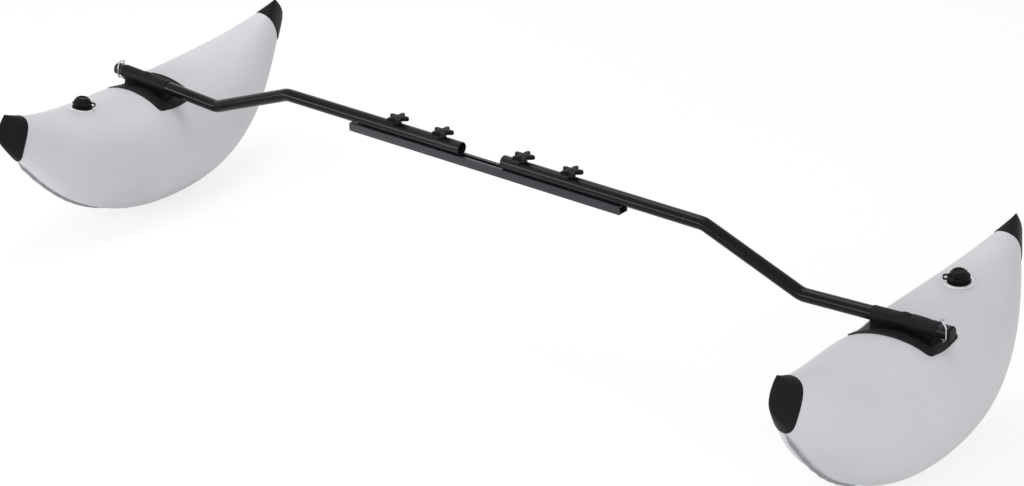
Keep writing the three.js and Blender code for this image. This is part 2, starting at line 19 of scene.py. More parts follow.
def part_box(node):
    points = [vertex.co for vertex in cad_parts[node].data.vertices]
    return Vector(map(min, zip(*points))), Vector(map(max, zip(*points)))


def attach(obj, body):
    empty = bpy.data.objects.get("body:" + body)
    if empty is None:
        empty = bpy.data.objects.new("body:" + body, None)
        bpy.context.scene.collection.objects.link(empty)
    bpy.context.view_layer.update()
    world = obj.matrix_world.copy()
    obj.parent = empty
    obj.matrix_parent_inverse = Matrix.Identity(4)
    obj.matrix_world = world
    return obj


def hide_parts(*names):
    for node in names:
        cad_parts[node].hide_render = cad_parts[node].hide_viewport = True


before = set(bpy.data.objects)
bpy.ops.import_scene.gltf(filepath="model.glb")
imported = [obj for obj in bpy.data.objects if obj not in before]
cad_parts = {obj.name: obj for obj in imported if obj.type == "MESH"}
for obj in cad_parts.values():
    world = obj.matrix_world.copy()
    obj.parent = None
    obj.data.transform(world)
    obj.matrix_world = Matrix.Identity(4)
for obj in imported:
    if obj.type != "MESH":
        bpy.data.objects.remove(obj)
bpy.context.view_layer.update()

log = logging.getLogger("outrigger")

Piece = bpy.types.Object
Socket = bpy.types.NodeSocket
Pair = tuple[float, float]
Colour = tuple[int, int, int]
Path = tuple[np.ndarray, np.ndarray]

# The room between pieces that meet, and under what is welded on
GAP = 0.0003
FILM = GAP / 6

# Mesh making
WELD_DISTANCE = 0.000002
CREASE = math.radians(32.0)
EDGE_SEGMENTS = 2
ROD_SIDES = 24
HALVINGS = 30

# Finishes: the noise's useful range, how much the grain shifts the colour, which edges get rubbed wear and
# a painted sheen and how much, the grain's share over the threads, and the period of Blender's wave texture
# at a scale of 1
CLOUD_RANGE = (0.3, 0.7)
GRAIN_TINT = (0.35, -0.17)
EDGE_WEAR_AND_SHEEN_POINTINESS = (0.53, 0.6)
EDGE_WEAR_AND_SHEEN_SHARE = 0.55
THREAD_GRAIN = 0.4
WAVE_PERIOD = math.pi / 10


class Side(Enum):
    """A side of the outrigger, with its turn round the upright axis and its bail's turn."""

    RIGHT = ("right", 0.0, math.radians(-30.0))
    LEFT = ("left", math.pi, math.radians(120.0))

    def __init__(self, word: str, turn: float, bail_turn: float) -> None:
        """Gives the three values their names.

        Args:
            word: What the side's names start with.
            turn: The side's turn round the upright axis.
            bail_turn: The bail's turn on its pin.
        """
        self.word = word
        self.turn = turn
        self.bail_turn = bail_turn


class Cut(Enum):
    """How the two ends of a loft are closed."""

    FANNED = "each end by a fan"
    FLAT = "each end by one flat face"
    LOOPED = "the last ring joins the first"


# Flat outlines, paths and rings of points


def rounded(corners: Sequence[Pair], radius: float, steps: int = 4, closed: bool = False) -> list[Pair]:
    """Rounds the corners of a flat outline.

    Args:
        corners: The outline's corners in order.
        radius: The arcs' radius, which a short side may lower.
        steps: Points on each arc, less one.
        closed: Whether the last corner is joined to the first.

    Returns:
        The points of the rounded outline.
    """
    places = [np.array(corner, float) for corner in corners]
    outline: list[Pair] = []
    for index, corner in enumerate(places):
        if not closed and index in (0, len(places) - 1):
            outline.append(tuple(corner))
            continue
        back = places[index - 1] - corner
        ahead = places[(index + 1) % len(places)] - corner
        spans = np.linalg.norm(back), np.linalg.norm(ahead)
        back, ahead = back / spans[0], ahead / spans[1]
        half_angle = math.acos(float(np.clip(back @ ahead, -1.0, 1.0))) / 2
        reach = min(radius / math.tan(half_angle), min(spans) / 2)
        for step in range(steps + 1):
            share = step / steps
            point = corner + back * reach * (1 - share) ** 2 + ahead * reach * share**2
            outline.append(tuple(point))
    return outline


def circle(radius: float, sides: int) -> list[Pair]:
    """The corners of a regular outline round the origin."""
    turns = [2 * math.pi * side / sides for side in range(sides)]
    return [(radius * math.cos(turn), radius * math.sin(turn)) for turn in turns]


def bent_path(corners: Sequence[Sequence[float]], radii: Sequence[float], step: float) -> Path:
    """Walks along straight runs that round bends join.

    Args:
        corners: The path's first point, its corners and its last point.
        radii: The radius of the bend at each corner between.
        step: The largest turn from one station to the next.

    Returns:
        The stations' places, and the direction of the path at each.
    """
    places = [Vector(corner) for corner in corners]
    runs = [(b - a).normalized() for a, b in zip(places, places[1:])]
    points, along = [places[0]], [runs[0]]
    for corner, run, following, radius in zip(places[1:], runs, runs[1:], radii):
        turn = run.angle(following)
        axis = run.cross(following).normalized()
        start = corner - run * radius * math.tan(turn / 2)
        centre = start + axis.cross(run) * radius
        count = math.ceil(turn / step)
        for k in range(count + 1):
            spin = Matrix.Rotation(turn * k / count, 3, axis)
            points.append(centre + spin @ (start - centre))
            along.append(spin @ run)
    points.append(places[-1])
    along.append(runs[-1])
    return np.array(points), np.array(along)


def swept(path: Path, outline: Sequence[Pair], first_side: Sequence[float]) -> np.ndarray:
    """Carries an outline along a path.

    Args:
        path: The stations and directions that bent_path gives.
        outline: The section, whose first number lies along the side direction.
        first_side: A direction across the path at its start.

    Returns:
        One ring of points for each station.
    """
    side = np.array(first_side, float)
    rings = []
    for point, along in zip(*path):
        side = side - along * (side @ along)
        side /= np.linalg.norm(side)
        up = np.cross(along, side)
        rings.append([point + a * side + b * up for a, b in outline])
    return np.array(rings)


def turned(
    profile: Sequence[Pair], sides: int, swell: Callable[[float], float] | None = None
) -> np.ndarray:
    """Turns a profile round the Z axis.

    Args:
        profile: Points of radius and height.
        sides: Points on each ring.
        swell: What is added to a ring's radius at a turn, for lobes.

    Returns:
        One ring for each point of the profile.
    """
    rings = []
    for radius, height in profile:
        ring = []
        for side in range(sides):
            turn = 2 * math.pi * side / sides
            out = radius + (swell(turn) if swell else 0.0)
            ring.append((out * math.cos(turn), out * math.sin(turn), height))
        rings.append(ring)
    return np.array(rings)


# Meshes


def new_piece(name: str, points: np.ndarray, faces: list[tuple[int, ...]]) -> Piece:
    """Makes a smooth shaded mesh with its doubles merged and its faces pointing out.

    Args:
        name: The piece's name.
        points: Its points, three numbers each.
        faces: Its faces, as numbers of points.

    Returns:
        The new object, linked to the scene.
    """
    mesh = bpy.data.meshes.new(name)
    mesh.from_pydata(points.tolist(), [], faces)
    work = bmesh.new()
    work.from_mesh(mesh)
    bmesh.ops.remove_doubles(work, verts=work.verts, dist=WELD_DISTANCE)
    bmesh.ops.recalc_face_normals(work, faces=work.faces)
    work.to_mesh(mesh)
    work.free()
    piece = bpy.data.objects.new(name, mesh)
    bpy.context.scene.collection.objects.link(piece)
    shade(piece)
    return piece


def shade(piece: Piece) -> None:
    """Shades a piece smooth, apart from its creases."""
    piece.data.shade_smooth()
    piece.data.set_sharp_from_angle(angle=CREASE)


def lofted(name: str, rings: np.ndarray, ends: Cut = Cut.FANNED) -> Piece:
    """Joins rings of points into a closed mesh.

    Args:
        name: The piece's name.
        rings: Rings of equally many points.
        ends: How the first and last ring are closed.

    Returns:
        The new piece.
    """
    rows, columns = rings.shape[:2]
    points = rings.reshape(-1, 3)
    faces: list[tuple[int, ...]] = []
    for row in range(rows if ends is Cut.LOOPED else rows - 1):
        near, far = row * columns, (row + 1) % rows * columns
        for column in range(columns):
            following = (column + 1) % columns
            faces.append((near + column, near + following, far + following, far + column))
    if ends is Cut.FANNED:
        last = (rows - 1) * columns
        points = np.vstack([points, rings[0].mean(0), rings[-1].mean(0)])
        for column in range(columns):
            following = (column + 1) % columns
            faces.append((rows * columns, following, column))
            faces.append((rows * columns + 1, last + column, last + following))
    elif ends is Cut.FLAT:
        faces.append(tuple(reversed(range(columns))))
        faces.append(tuple(range((rows - 1) * columns, rows * columns)))
    return new_piece(name, points, faces)


def settle(piece: Piece) -> None:
    """Turns a piece's modifiers into plain mesh and removes them.

    Args:
        piece: The piece.
    """
    evaluated = piece.evaluated_get(bpy.context.evaluated_depsgraph_get())
    mesh = bpy.data.meshes.new_from_object(evaluated)
    piece.modifiers.clear()
    old = piece.data
    piece.data = mesh
    bpy.data.meshes.remove(old)
    mesh.name = piece.name


def merged(name: str, pieces: Sequence[Piece]) -> Piece:
    """Puts several meshes together in one piece, and removes them.

    Args:
        name: The new piece's name.
        pieces: The pieces that it is made of.

    Returns:
        The one piece.
    """
    work = bmesh.new()
    for piece in pieces:
        work.from_mesh(piece.data)
        bpy.data.objects.remove(piece)
    mesh = bpy.data.meshes.new(name)
    work.to_mesh(mesh)
    work.free()
    whole = bpy.data.objects.new(name, mesh)
    bpy.context.scene.collection.objects.link(whole)
    shade(whole)
    return whole


def drilled(piece: Piece, holes: Sequence[Piece]) -> None:
    """Takes rods out of a piece, and removes them.

    Args:
        piece: The piece.
        holes: The rods.
    """
    cutter = merged("cutter", holes)
    modifier = piece.modifiers.new("holes", "BOOLEAN")
    modifier.operation = "DIFFERENCE"
    modifier.solver = "EXACT"
    modifier.object = cutter
    settle(piece)
    bpy.data.objects.remove(cutter)
    shade(piece)


def softened(piece: Piece, width: float) -> None:
    """Rounds the hard edges of a piece.

    Args:
        piece: The piece.
        width: The width of the rounding.
    """
    modifier = piece.modifiers.new("edges", "BEVEL")
    modifier.width = width
    modifier.segments = EDGE_SEGMENTS
    modifier.limit_method = "ANGLE"
    modifier.angle_limit = CREASE
    settle(piece)
    shade(piece)


def rod(radius: float, low: float, high: float, place: Matrix) -> Piece:
    """A plain rod for drilling a hole, along the Z axis of its frame.

    Args:
        radius: Its radius.
        low: Height of its lower end.
        high: Height of its upper end.
        place: Where its frame stands.

    Returns:
        The rod.
    """
    piece = lofted("rod", turned([(radius, low), (radius, high)], ROD_SIDES))
    piece.data.transform(place)
    return piece


# Node trees


class Canvas:
    """Adds and joins the nodes of one tree."""

    def __init__(self, tree: bpy.types.NodeTree) -> None:
        """Keeps the tree that is drawn in."""
        self.tree = tree

    def add(self, kind: str, values: dict | None = None, **settings: object) -> bpy.types.Node:
        """Adds a node.

        Args:
            kind: The node's type.
            values: What each input, by name or number, is set to or joined from.
            settings: The node's own properties.

        Returns:
            The new node.
        """
        node = self.tree.nodes.new(kind)
        for name, value in settings.items():
            setattr(node, name, value)
        for key, value in (values or {}).items():
            if isinstance(value, Socket):
                self.tree.links.new(value, node.inputs[key])
            else:
                node.inputs[key].default_value = value
        return node

    def sum(self, operation: str, first: object, second: object = 0.0) -> Socket:
        """One step of arithmetic, as its output."""
        return self.add("ShaderNodeMath", {0: first, 1: second}, operation=operation).outputs[0]

    def vector(self, *parts: object) -> Socket:
        """Three values as one vector."""
        return self.add("ShaderNodeCombineXYZ", dict(enumerate(parts))).outputs[0]

    def ranged(self, value: Socket, source: Pair, target: Pair) -> Socket:
        """Maps a value from one range to another, as the output.

        Args:
            value: What is mapped.
            source: The range that it comes from, past which it stays still.
            target: The range that it goes to.

        Returns:
            The mapped value.
        """
        ends = {"From Min": source[0], "From Max": source[1], "To Min": target[0], "To Max": target[1]}
        return self.add("ShaderNodeMapRange", {"Value": value, **ends}).outputs[0]


# Finishes


def linear(colour: Colour) -> tuple[float, float, float, float]:
    """A colour as Blender's linear numbers.

    Args:
        colour: Red, green and blue from 0 to 255.

    Returns:
        The same colour from 0 to 1, with an alpha of 1.
    """
    shares = [part / 255 for part in colour]
    parts = [c / 12.92 if c <= 0.04045 else ((c + 0.055) / 1.055) ** 2.4 for c in shares]
    return (*parts, 1.0)


@dataclass(frozen=True)
class Finish:
    """A surface's colour and gloss, and how both vary over it."""

    name: str
    slot: str
    colour: Colour
    second_colour: Colour
    roughness: Pair
    metallic: float = 0.0
    specular: float = 0.5
    patch_scale: float = 9.0
    grain_scale: float = 1400.0
    grain_stretch: tuple[float, float, float] = (1.0, 1.0, 1.0)
    grain_depth: float = 0.00003
    grain_strength: float = 0.3
    # Lighter colour on sharp edges: partly rubbed wear, partly a painted sheen in place of edge highlights
    edge_wear_and_sheen_colour: Colour | None = None

    def relief(self, canvas: Canvas, place: Socket) -> Socket:
        """The height of the fine grain.

        Args:
            canvas: The material's nodes.
            place: Object coordinates.

        Returns:
            The height's output.
        """
        stretched = canvas.add("ShaderNodeMapping", {"Vector": place, "Scale": self.grain_stretch})
        grain = {"Vector": stretched.outputs[0], "Scale": self.grain_scale, "Detail": 3.0, "Roughness": 0.6}
        return canvas.add("ShaderNodeTexNoise", grain).outputs["Fac"]

    def tint(self, canvas: Canvas, cloud: Socket, relief: Socket) -> Socket:
        """The colour over the surface.

        Args:
            canvas: The material's nodes.
            cloud: Broad soft variation.
            relief: Height of the grain.

        Returns:
            The colour's output.
        """
        mixed = canvas.sum("MULTIPLY_ADD", relief, GRAIN_TINT[0])
        mixed.node.inputs[2].default_value = GRAIN_TINT[1]
        share = canvas.sum("ADD", cloud, mixed)
        colours = {0: share, 6: linear(self.colour), 7: linear(self.second_colour)}
        result = canvas.add("ShaderNodeMix", colours, data_type="RGBA").outputs[2]
        if self.edge_wear_and_sheen_colour is None:
            return result
        # Sharp edges turn lighter: part rubbed wear, part painted sheen standing in for highlights on the
        # edges
        shape = canvas.add("ShaderNodeNewGeometry").outputs["Pointiness"]
        wear_and_sheen = canvas.ranged(shape, EDGE_WEAR_AND_SHEEN_POINTINESS, (0.0, EDGE_WEAR_AND_SHEEN_SHARE))
        edges = {0: wear_and_sheen, 6: result, 7: linear(self.edge_wear_and_sheen_colour)}
        return canvas.add("ShaderNodeMix", edges, data_type="RGBA").outputs[2]

    def material(self) -> bpy.types.Material:
        """Builds the material once.

        Returns:
            The material, which every piece of this finish shares.
        """
        if self.name in bpy.data.materials:
            return bpy.data.materials[self.name]
        material = bpy.data.materials.new(self.name)
        material.use_nodes = True
        canvas = Canvas(material.node_tree)
        shader = material.node_tree.nodes["Principled BSDF"]
        place = canvas.add("ShaderNodeTexCoord").outputs["Object"]
        relief = self.relief(canvas, place)
        broad = {"Vector": place, "Scale": self.patch_scale, "Detail": 4.0, "Roughness": 0.55}
        cloud = canvas.add("ShaderNodeTexNoise", broad).outputs["Fac"]
        spread = canvas.ranged(cloud, CLOUD_RANGE, (0.0, 1.0))
        roughness = canvas.ranged(cloud, CLOUD_RANGE, self.roughness)
        bump = {"Height": relief, "Distance": self.grain_depth, "Strength": self.grain_strength}
        normal = canvas.add("ShaderNodeBump", bump).outputs[0]
        links = material.node_tree.links
        links.new(self.tint(canvas, spread, relief), shader.inputs["Base Color"])
        links.new(roughness, shader.inputs["Roughness"])
        links.new(normal, shader.inputs["Normal"])
        shader.inputs["Metallic"].default_value = self.metallic
        shader.inputs["Specular IOR Level"].default_value = self.specular
        return material


@dataclass(frozen=True)
class ScrimFinish(Finish):
    """A coated cloth, whose threads stand out in two directions."""

    thread_pitch: float = 0.0014

    def relief(self, canvas: Canvas, place: Socket) -> Socket:
        """The height of the threads under the coating, with some grain.

        Args:
            canvas: The material's nodes.
            place: Object coordinates.

        Returns:
            The height's output.
        """
        scale = WAVE_PERIOD / self.thread_pitch
        threads = []
        for direction in ("X", "Y"):
            wave = {"Vector": place, "Scale": scale, "Distortion": 0.6, "Detail": 1.0, "Detail Scale": 0.3}
            threads.append(canvas.add("ShaderNodeTexWave", wave, bands_direction=direction).outputs["Fac"])
        crossed = canvas.sum("MULTIPLY", *threads)
        grain = super().relief(canvas, place)
        fine = canvas.sum("MULTIPLY", grain, THREAD_GRAIN)
        return canvas.sum("ADD", crossed, fine)


ANODISED = Finish(
    "black_anodised_aluminium", "anodised", (13, 14, 16), (21, 22, 25), (0.17, 0.25), 0.3, 0.16,
    grain_scale=700.0, grain_stretch=(0.03, 1.0, 1.0), grain_depth=0.00002, edge_wear_and_sheen_colour=(66, 68, 72),
)
# A lighter copy of the black anodised finish: its colours and edge colour are painted sheen, standing in
# for the light that the channel's faces reflect
ANODISED_WITH_PAINTED_SHEEN = Finish(
    "black_anodised_channel_painted_sheen", "anodised", (37, 37, 42), (48, 47, 54), (0.26, 0.36), 0.3, 0.38,
    grain_scale=700.0, grain_stretch=(0.03, 1.0, 1.0), grain_depth=0.00002, edge_wear_and_sheen_colour=(92, 93, 98),
)
STEEL = Finish(
    "drawn_stainless_steel", "steel", (196, 198, 202), (172, 174, 178), (0.16, 0.3), 1.0,
    grain_scale=2200.0, grain_stretch=(1.0, 1.0, 0.1), grain_depth=0.00001,
)
FLOAT_PVC = Finish(
    "pale_grey_pvc_sheet", "grey_pvc", (214, 216, 219), (206, 208, 212), (0.4, 0.52),
    patch_scale=5.0, grain_scale=900.0, grain_depth=0.00006, grain_strength=0.25,
)
SEAM_PVC = Finish(
    "welded_grey_pvc", "grey_pvc", (172, 174, 177), (152, 154, 158), (0.35, 0.5),
    patch_scale=60.0, grain_scale=1300.0, grain_depth=0.00008,
)
CLEAR_PVC = Finish(
    "pale_soft_pvc", "clear_pvc", (238, 239, 241), (228, 230, 233), (0.22, 0.36),
    patch_scale=40.0, grain_scale=1500.0, grain_depth=0.00003,
)
BLACK_PVC = Finish(
    "black_grained_pvc", "black_pvc", (17, 17, 19), (25, 26, 29), (0.46, 0.62), specular=0.11,
    patch_scale=25.0, grain_scale=1100.0, grain_depth=0.00012, grain_strength=0.45,
    edge_wear_and_sheen_colour=(52, 53, 56),
)
SCRIM_PVC = ScrimFinish(
    "black_woven_pvc", "black_pvc", (18, 19, 21), (27, 28, 31), (0.4, 0.58), specular=0.13,
    patch_scale=30.0, grain_scale=1800.0, grain_depth=0.00014, grain_strength=0.5,
)
PLASTIC = Finish(
    "black_moulded_plastic", "black_plastic", (12, 12, 14), (19, 20, 22), (0.34, 0.48), specular=0.09,
    patch_scale=45.0, grain_scale=2600.0, grain_depth=0.00005, edge_wear_and_sheen_colour=(40, 41, 44),
)


def dress(piece: Piece, finish: Finish, body: str, *nodes: str) -> None:
    """Gives a finished piece its material, its body and the nodes that it stands for.

    Args:
        piece: The piece, in place.
        finish: Its finish.
        body: The body that it rides on.
        nodes: The nodes that it replaces.
    """
    piece.data.materials.clear()
    piece.data.materials.append(finish.material())
    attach(piece, body)
    if nodes:
        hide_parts(*nodes)
    log.info("%s: %d faces on %s", piece.name, len(piece.data.polygons), body)


# Patterns


class Pattern:
    """A Geometry Nodes tree with named lengths, made in code and run once on a mesh."""

    def __init__(self, name: str, lengths: Sequence[str]) -> None:
        """Opens the tree.

        Args:
            name: The tree's name.
            lengths: The names of its inputs.
        """
        self.tree = bpy.data.node_groups.new(name, "GeometryNodeTree")
        self.canvas = Canvas(self.tree)
        interface = self.tree.interface
        interface.new_socket("Geometry", in_out="INPUT", socket_type="NodeSocketGeometry")
        interface.new_socket("Geometry", in_out="OUTPUT", socket_type="NodeSocketGeometry")
        self.identifiers: dict[str, str] = {}
        for length in lengths:
            socket = interface.new_socket(length, in_out="INPUT", socket_type="NodeSocketFloat")
            self.identifiers[length] = socket.identifier
        self.source = self.canvas.add("NodeGroupInput")

    def value(self, name: str) -> Socket:
        """The output of a named input."""
        return self.source.outputs[name]

    def blocks(self, points: Socket, rotation: Socket, word: str) -> Socket:
        """Stands a block on each point.

        Args:
            points: The points.
            rotation: How the block is turned on each.
            word: What the block is called in the inputs for its depth, width and height.

        Returns:
            The instances.
        """
        size = self.canvas.vector(*(self.value(f"{word} {side}") for side in ("Depth", "Width", "Height")))
        block = self.canvas.add("GeometryNodeMeshCube", {"Size": size}).outputs["Mesh"]
        placed = {"Points": points, "Instance": block, "Rotation": rotation}
        return self.canvas.add("GeometryNodeInstanceOnPoints", placed).outputs[0]

    def close(self, instances: Socket, finish: Finish) -> None:
        """Ends the tree with plain geometry of one material.

        Args:
            instances: What the tree has placed.
            finish: Its finish.
        """
        real = self.canvas.add("GeometryNodeRealizeInstances", {0: instances})
        painted = {"Geometry": real.outputs[0], "Material": finish.material()}
        coloured = self.canvas.add("GeometryNodeSetMaterial", painted)
        self.canvas.add("NodeGroupOutput", {0: coloured.outputs[0]})

    def run(self, name: str, carrier: Piece, values: dict[str, float]) -> Piece:
        """Lays the pattern on a carrier.

        Args:
            name: The new piece's name.
            carrier: The mesh that the tree reads.
            values: A value for each named input.

        Returns:
            The pattern as a plain mesh of its own.
        """
        piece = bpy.data.objects.new(name, carrier.data.copy())
        bpy.context.scene.collection.objects.link(piece)
        modifier = piece.modifiers.new(name, "NODES")
        modifier.node_group = self.tree
        for length, value in values.items():
            modifier[self.identifiers[length]] = value
        settle(piece)
        piece.data.shade_flat()
        return piece


def lozenge_pattern() -> Pattern:
    """Raised lozenges in staggered rows over a patch, apart from its bare middle.

    Returns:
        The pattern, whose carrier is the patch.
    """
    lengths = ["Length", "Width", "Shift", "Pitch", "Bare Middle", "Bare Spread", "Size", "Slenderness"]
    pattern = Pattern("lozenges", [*lengths, "Height"])
    canvas, value = pattern.canvas, pattern.value
    drop_height, top_share = 0.2, 0.55
    row_pitch = canvas.sum("MULTIPLY", value("Pitch"), 0.5)
    counts = []
    for span, pitch in ((value("Length"), value("Pitch")), (value("Width"), row_pitch)):
        whole = canvas.sum("ROUND", canvas.sum("DIVIDE", span, pitch))
        counts.append(canvas.sum("ADD", whole, 1.0))
    grid = {"Size X": value("Length"), "Size Y": value("Width")}
    grid["Vertices X"], grid["Vertices Y"] = counts
    points = canvas.add("GeometryNodeMeshGrid", grid).outputs["Mesh"]
    place = canvas.add("GeometryNodeInputPosition").outputs[0]
    parts = canvas.add("ShaderNodeSeparateXYZ", {0: place})
    row = canvas.sum("ROUND", canvas.sum("DIVIDE", parts.outputs["Y"], row_pitch))
    parity = canvas.sum("PINGPONG", row, 1.0)
    stagger = canvas.sum("MULTIPLY", canvas.sum("SUBTRACT", parity, 0.5), row_pitch)
    offset = canvas.vector(canvas.sum("ADD", stagger, value("Shift")))
    staggered = canvas.add("GeometryNodeSetPosition", {"Geometry": points, "Offset": offset})
    above = canvas.add("ShaderNodeVectorMath", {0: place, 1: (0.0, 0.0, drop_height)})
    ray = {"Target Geometry": pattern.source.outputs[0], "Source Position": above.outputs[0],
           "Ray Direction": (0.0, 0.0, -1.0), "Ray Length": 1.0}
    landing = canvas.add("GeometryNodeRaycast", ray)
    out = canvas.sum("ABSOLUTE", parts.outputs["Y"])
    wider = canvas.sum("MULTIPLY", canvas.sum("ABSOLUTE", parts.outputs["X"]), value("Bare Spread"))
    bare = canvas.sum("ADD", value("Bare Middle"), wider)
    beside = canvas.add("FunctionNodeCompare", {0: out, 1: bare}, operation="GREATER_THAN")
    kept = canvas.add("FunctionNodeBooleanMath", {0: landing.outputs["Is Hit"], 1: beside.outputs[0]})
    seated = {"Geometry": staggered.outputs[0], "Position": landing.outputs["Hit Position"]}
    laid = canvas.add("GeometryNodeSetPosition", seated)
    normal = {"Vector": landing.outputs["Hit Normal"]}
    upright = canvas.add("FunctionNodeAlignRotationToVector", normal, axis="Z")
    top = canvas.sum("MULTIPLY", value("Size"), top_share)
    frustum = {"Vertices": 4, "Radius Top": top, "Radius Bottom": value("Size"), "Depth": value("Height")}
    block = canvas.add("GeometryNodeMeshCone", frustum).outputs["Mesh"]
    narrow = canvas.vector(1.0, value("Slenderness"), 1.0)
    lozenge = canvas.add("GeometryNodeTransform", {"Geometry": block, "Scale": narrow})
    placed = {"Points": laid.outputs[0], "Selection": kept.outputs[0], "Instance": lozenge.outputs[0],
              "Rotation": upright.outputs[0]}
    instances = canvas.add("GeometryNodeInstanceOnPoints", placed)
    pattern.close(instances.outputs[0], SCRIM_PVC)
    return pattern


def weld_bar_pattern() -> Pattern:
    """Short bars across a weld, evenly along it.

    Returns:
        The pattern, whose carrier is a line of edges along the weld.
    """
    pattern = Pattern("weld_bars", ["Pitch", "Bar Depth", "Bar Width", "Bar Height"])
    canvas, value = pattern.canvas, pattern.value
    line = canvas.add("GeometryNodeMeshToCurve", {0: pattern.source.outputs[0]})
    spacing = {"Curve": line.outputs[0], "Length": value("Pitch")}
    even = canvas.add("GeometryNodeResampleCurve", spacing, mode="LENGTH")
    tangent = canvas.add("GeometryNodeInputTangent").outputs[0]
    facing = canvas.add("FunctionNodeAlignRotationToVector", {"Vector": tangent}, axis="Y", pivot_axis="X")
    pattern.close(pattern.blocks(even.outputs[0], facing.outputs[0], "Bar"), SEAM_PVC)
    return pattern


def ring_rib_pattern(name: str, finish: Finish) -> Pattern:
    """Ribs in a ring round the Z axis, each pointing outwards.

    Args:
        name: The tree's name.
        finish: The ribs' finish.

    Returns:
        The pattern, which reads nothing from its carrier.
    """
    pattern = Pattern(name, ["Radius", "Height", "Count", "Rib Depth", "Rib Width", "Rib Height"])
    canvas, value = pattern.canvas, pattern.value
    circuit = {"Resolution": value("Count"), "Radius": value("Radius")}
    ring = canvas.add("GeometryNodeCurvePrimitiveCircle", circuit)
    place = canvas.add("GeometryNodeInputPosition").outputs[0]
    outward = canvas.add("FunctionNodeAlignRotationToVector", {"Vector": place}, axis="X", pivot_axis="Z")
    instances = pattern.blocks(ring.outputs[0], outward.outputs[0], "Rib")
    lifted = {"Geometry": instances, "Translation": canvas.vector(0.0, 0.0, value("Height"))}
    pattern.close(canvas.add("GeometryNodeTransform", lifted).outputs[0], finish)
    return pattern


# The arm's run, and the frames that follow from it


@dataclass(frozen=True)
class ArmRun:
    """The sizes of an arm's tube, from its inner end on the rail to its outer end past the float."""

    radius: float = 0.014
    wall: float = 0.0015
    inner_end: float = 0.0557
    shoulder: float = 0.5509
    elbow: float = 0.7763
    drop: float = 0.0836
    slope: float = math.radians(3.12)
    bend_radius: float = 0.050
    float_place: float = 0.9966
    overhang: float = 0.097

    @property
    def float_drop(self) -> float:
        """Height of the tube's axis over the float's middle, from the inner stretch."""
        return -self.drop + (self.float_place - self.elbow) * math.tan(self.slope)

    def path(self, step: float) -> Path:
        """The centreline of the tube.

        Args:
            step: The largest turn from one station to the next.

        Returns:
            Its stations and the direction at each.
        """
        end = (
            self.float_place + self.overhang * math.cos(self.slope),
            0.0,
            self.float_drop + self.overhang * math.sin(self.slope),
        )
        starts = [(self.inner_end, 0.0, 0.0), (self.shoulder, 0.0, 0.0), (self.elbow, 0.0, -self.drop)]
        return bent_path([*starts, end], [self.bend_radius] * 2, step)


@dataclass(frozen=True)
class FloatLines:
    """The float's shape, in a frame on the tube's axis over the float's middle."""

    trim: float = math.radians(-1.0)
    half_length: float = 0.4216
    half_beam: float = 0.149
    keel_depth: float = 0.2683
    deck_seat: float = 0.0178
    deck_dip: float = 0.009
    dip_share: float = 0.1
    deck_sheer: float = 0.0496
    tip_flick: float = 0.0232
    stem_height: float = 0.057
    stem_bulge: float = 0.0235
    stem_bow: float = 2.1
    stem_half_width: float = 0.001
    sheer_power: float = 2.12
    flick_power: float = 4.06
    keel_powers: Pair = (2.47, 0.861)
    beam_powers: Pair = (2.274, 0.907)
    bulge_power: float = 12.0
    top_heavy: float = 0.098
    top_heavy_taper: float = 0.105
    squareness: float = 0.086

    def deck(self, share: np.ndarray | float) -> np.ndarray | float:
        """Height of the deck's centreline.

        Args:
            share: Place along the half length, from -1 to 1.

        Returns:
            The height.
        """
        out = np.abs(share)
        rise = self.deck_dip * (1 - np.exp(-((out / self.dip_share) ** 2)))
        sheer = self.deck_sheer * out**self.sheer_power + self.tip_flick * out**self.flick_power
        return rise + sheer - self.deck_seat

    def keel(self, share: np.ndarray | float) -> np.ndarray | float:
        """Height of the keel.

        Args:
            share: Place along the half length, from -1 to 1.

        Returns:
            The height.
        """
        inner, outer = self.keel_powers
        foot = self.deck(1.0) - self.stem_height
        depth = self.keel_depth + self.deck_seat + foot
        return foot - depth * (1 - np.abs(share) ** inner) ** outer

    def point(self, share: np.ndarray, angle: np.ndarray, offset: np.ndarray | float = 0.0) -> np.ndarray:
        """Points of the skin, or of a surface that lies an offset out from it.

        Args:
            share: Place along the half length, from -1 to 1.
            angle: Turn round the section, from the deck at 0 to the keel at pi.
            offset: Distance out from the skin.

        Returns:
            The points, three numbers each.
        """
        out = np.abs(share)
        inner, outer = self.beam_powers
        swell = (1 - np.minimum(out, 1.0) ** inner) ** outer
        beam = self.stem_half_width + (self.half_beam - self.stem_half_width) * swell + offset
        deck, keel = self.deck(share) + offset, self.keel(share) - offset
        lean = (self.top_heavy - self.top_heavy_taper * out**2) * np.cos(angle)
        across = beam * np.sin(angle) * (1 + lean + self.squareness * np.cos(2 * angle))
        bow = np.sin(self.stem_bow * np.sin(angle / 2) ** 2)
        bulge = self.stem_bulge * out**self.bulge_power * bow
        along = (self.half_length + offset) * share + np.sign(share) * bulge
        height = keel + (deck - keel) * (1 + np.cos(angle)) / 2
        return np.stack(np.broadcast_arrays(across, along, height), axis=-1)

    def height(self, across: np.ndarray, along: np.ndarray, offset: np.ndarray | float) -> np.ndarray:
        """Height of the upper surface over places in plan, near the float's middle.

        Args:
            across: X of the places.
            along: Y of the places.
            offset: Distance of the surface out from the skin.

        Returns:
            The heights.
        """
        share = along / (self.half_length + offset)
        low = np.zeros(np.broadcast(across, along).shape)
        high = low + math.pi / 2
        for _ in range(HALVINGS):
            middle = (low + high) / 2
            short = self.point(share, middle, offset)[..., 0] < np.abs(across)
            low, high = np.where(short, middle, low), np.where(short, high, middle)
        return self.point(share, low, offset)[..., 2]


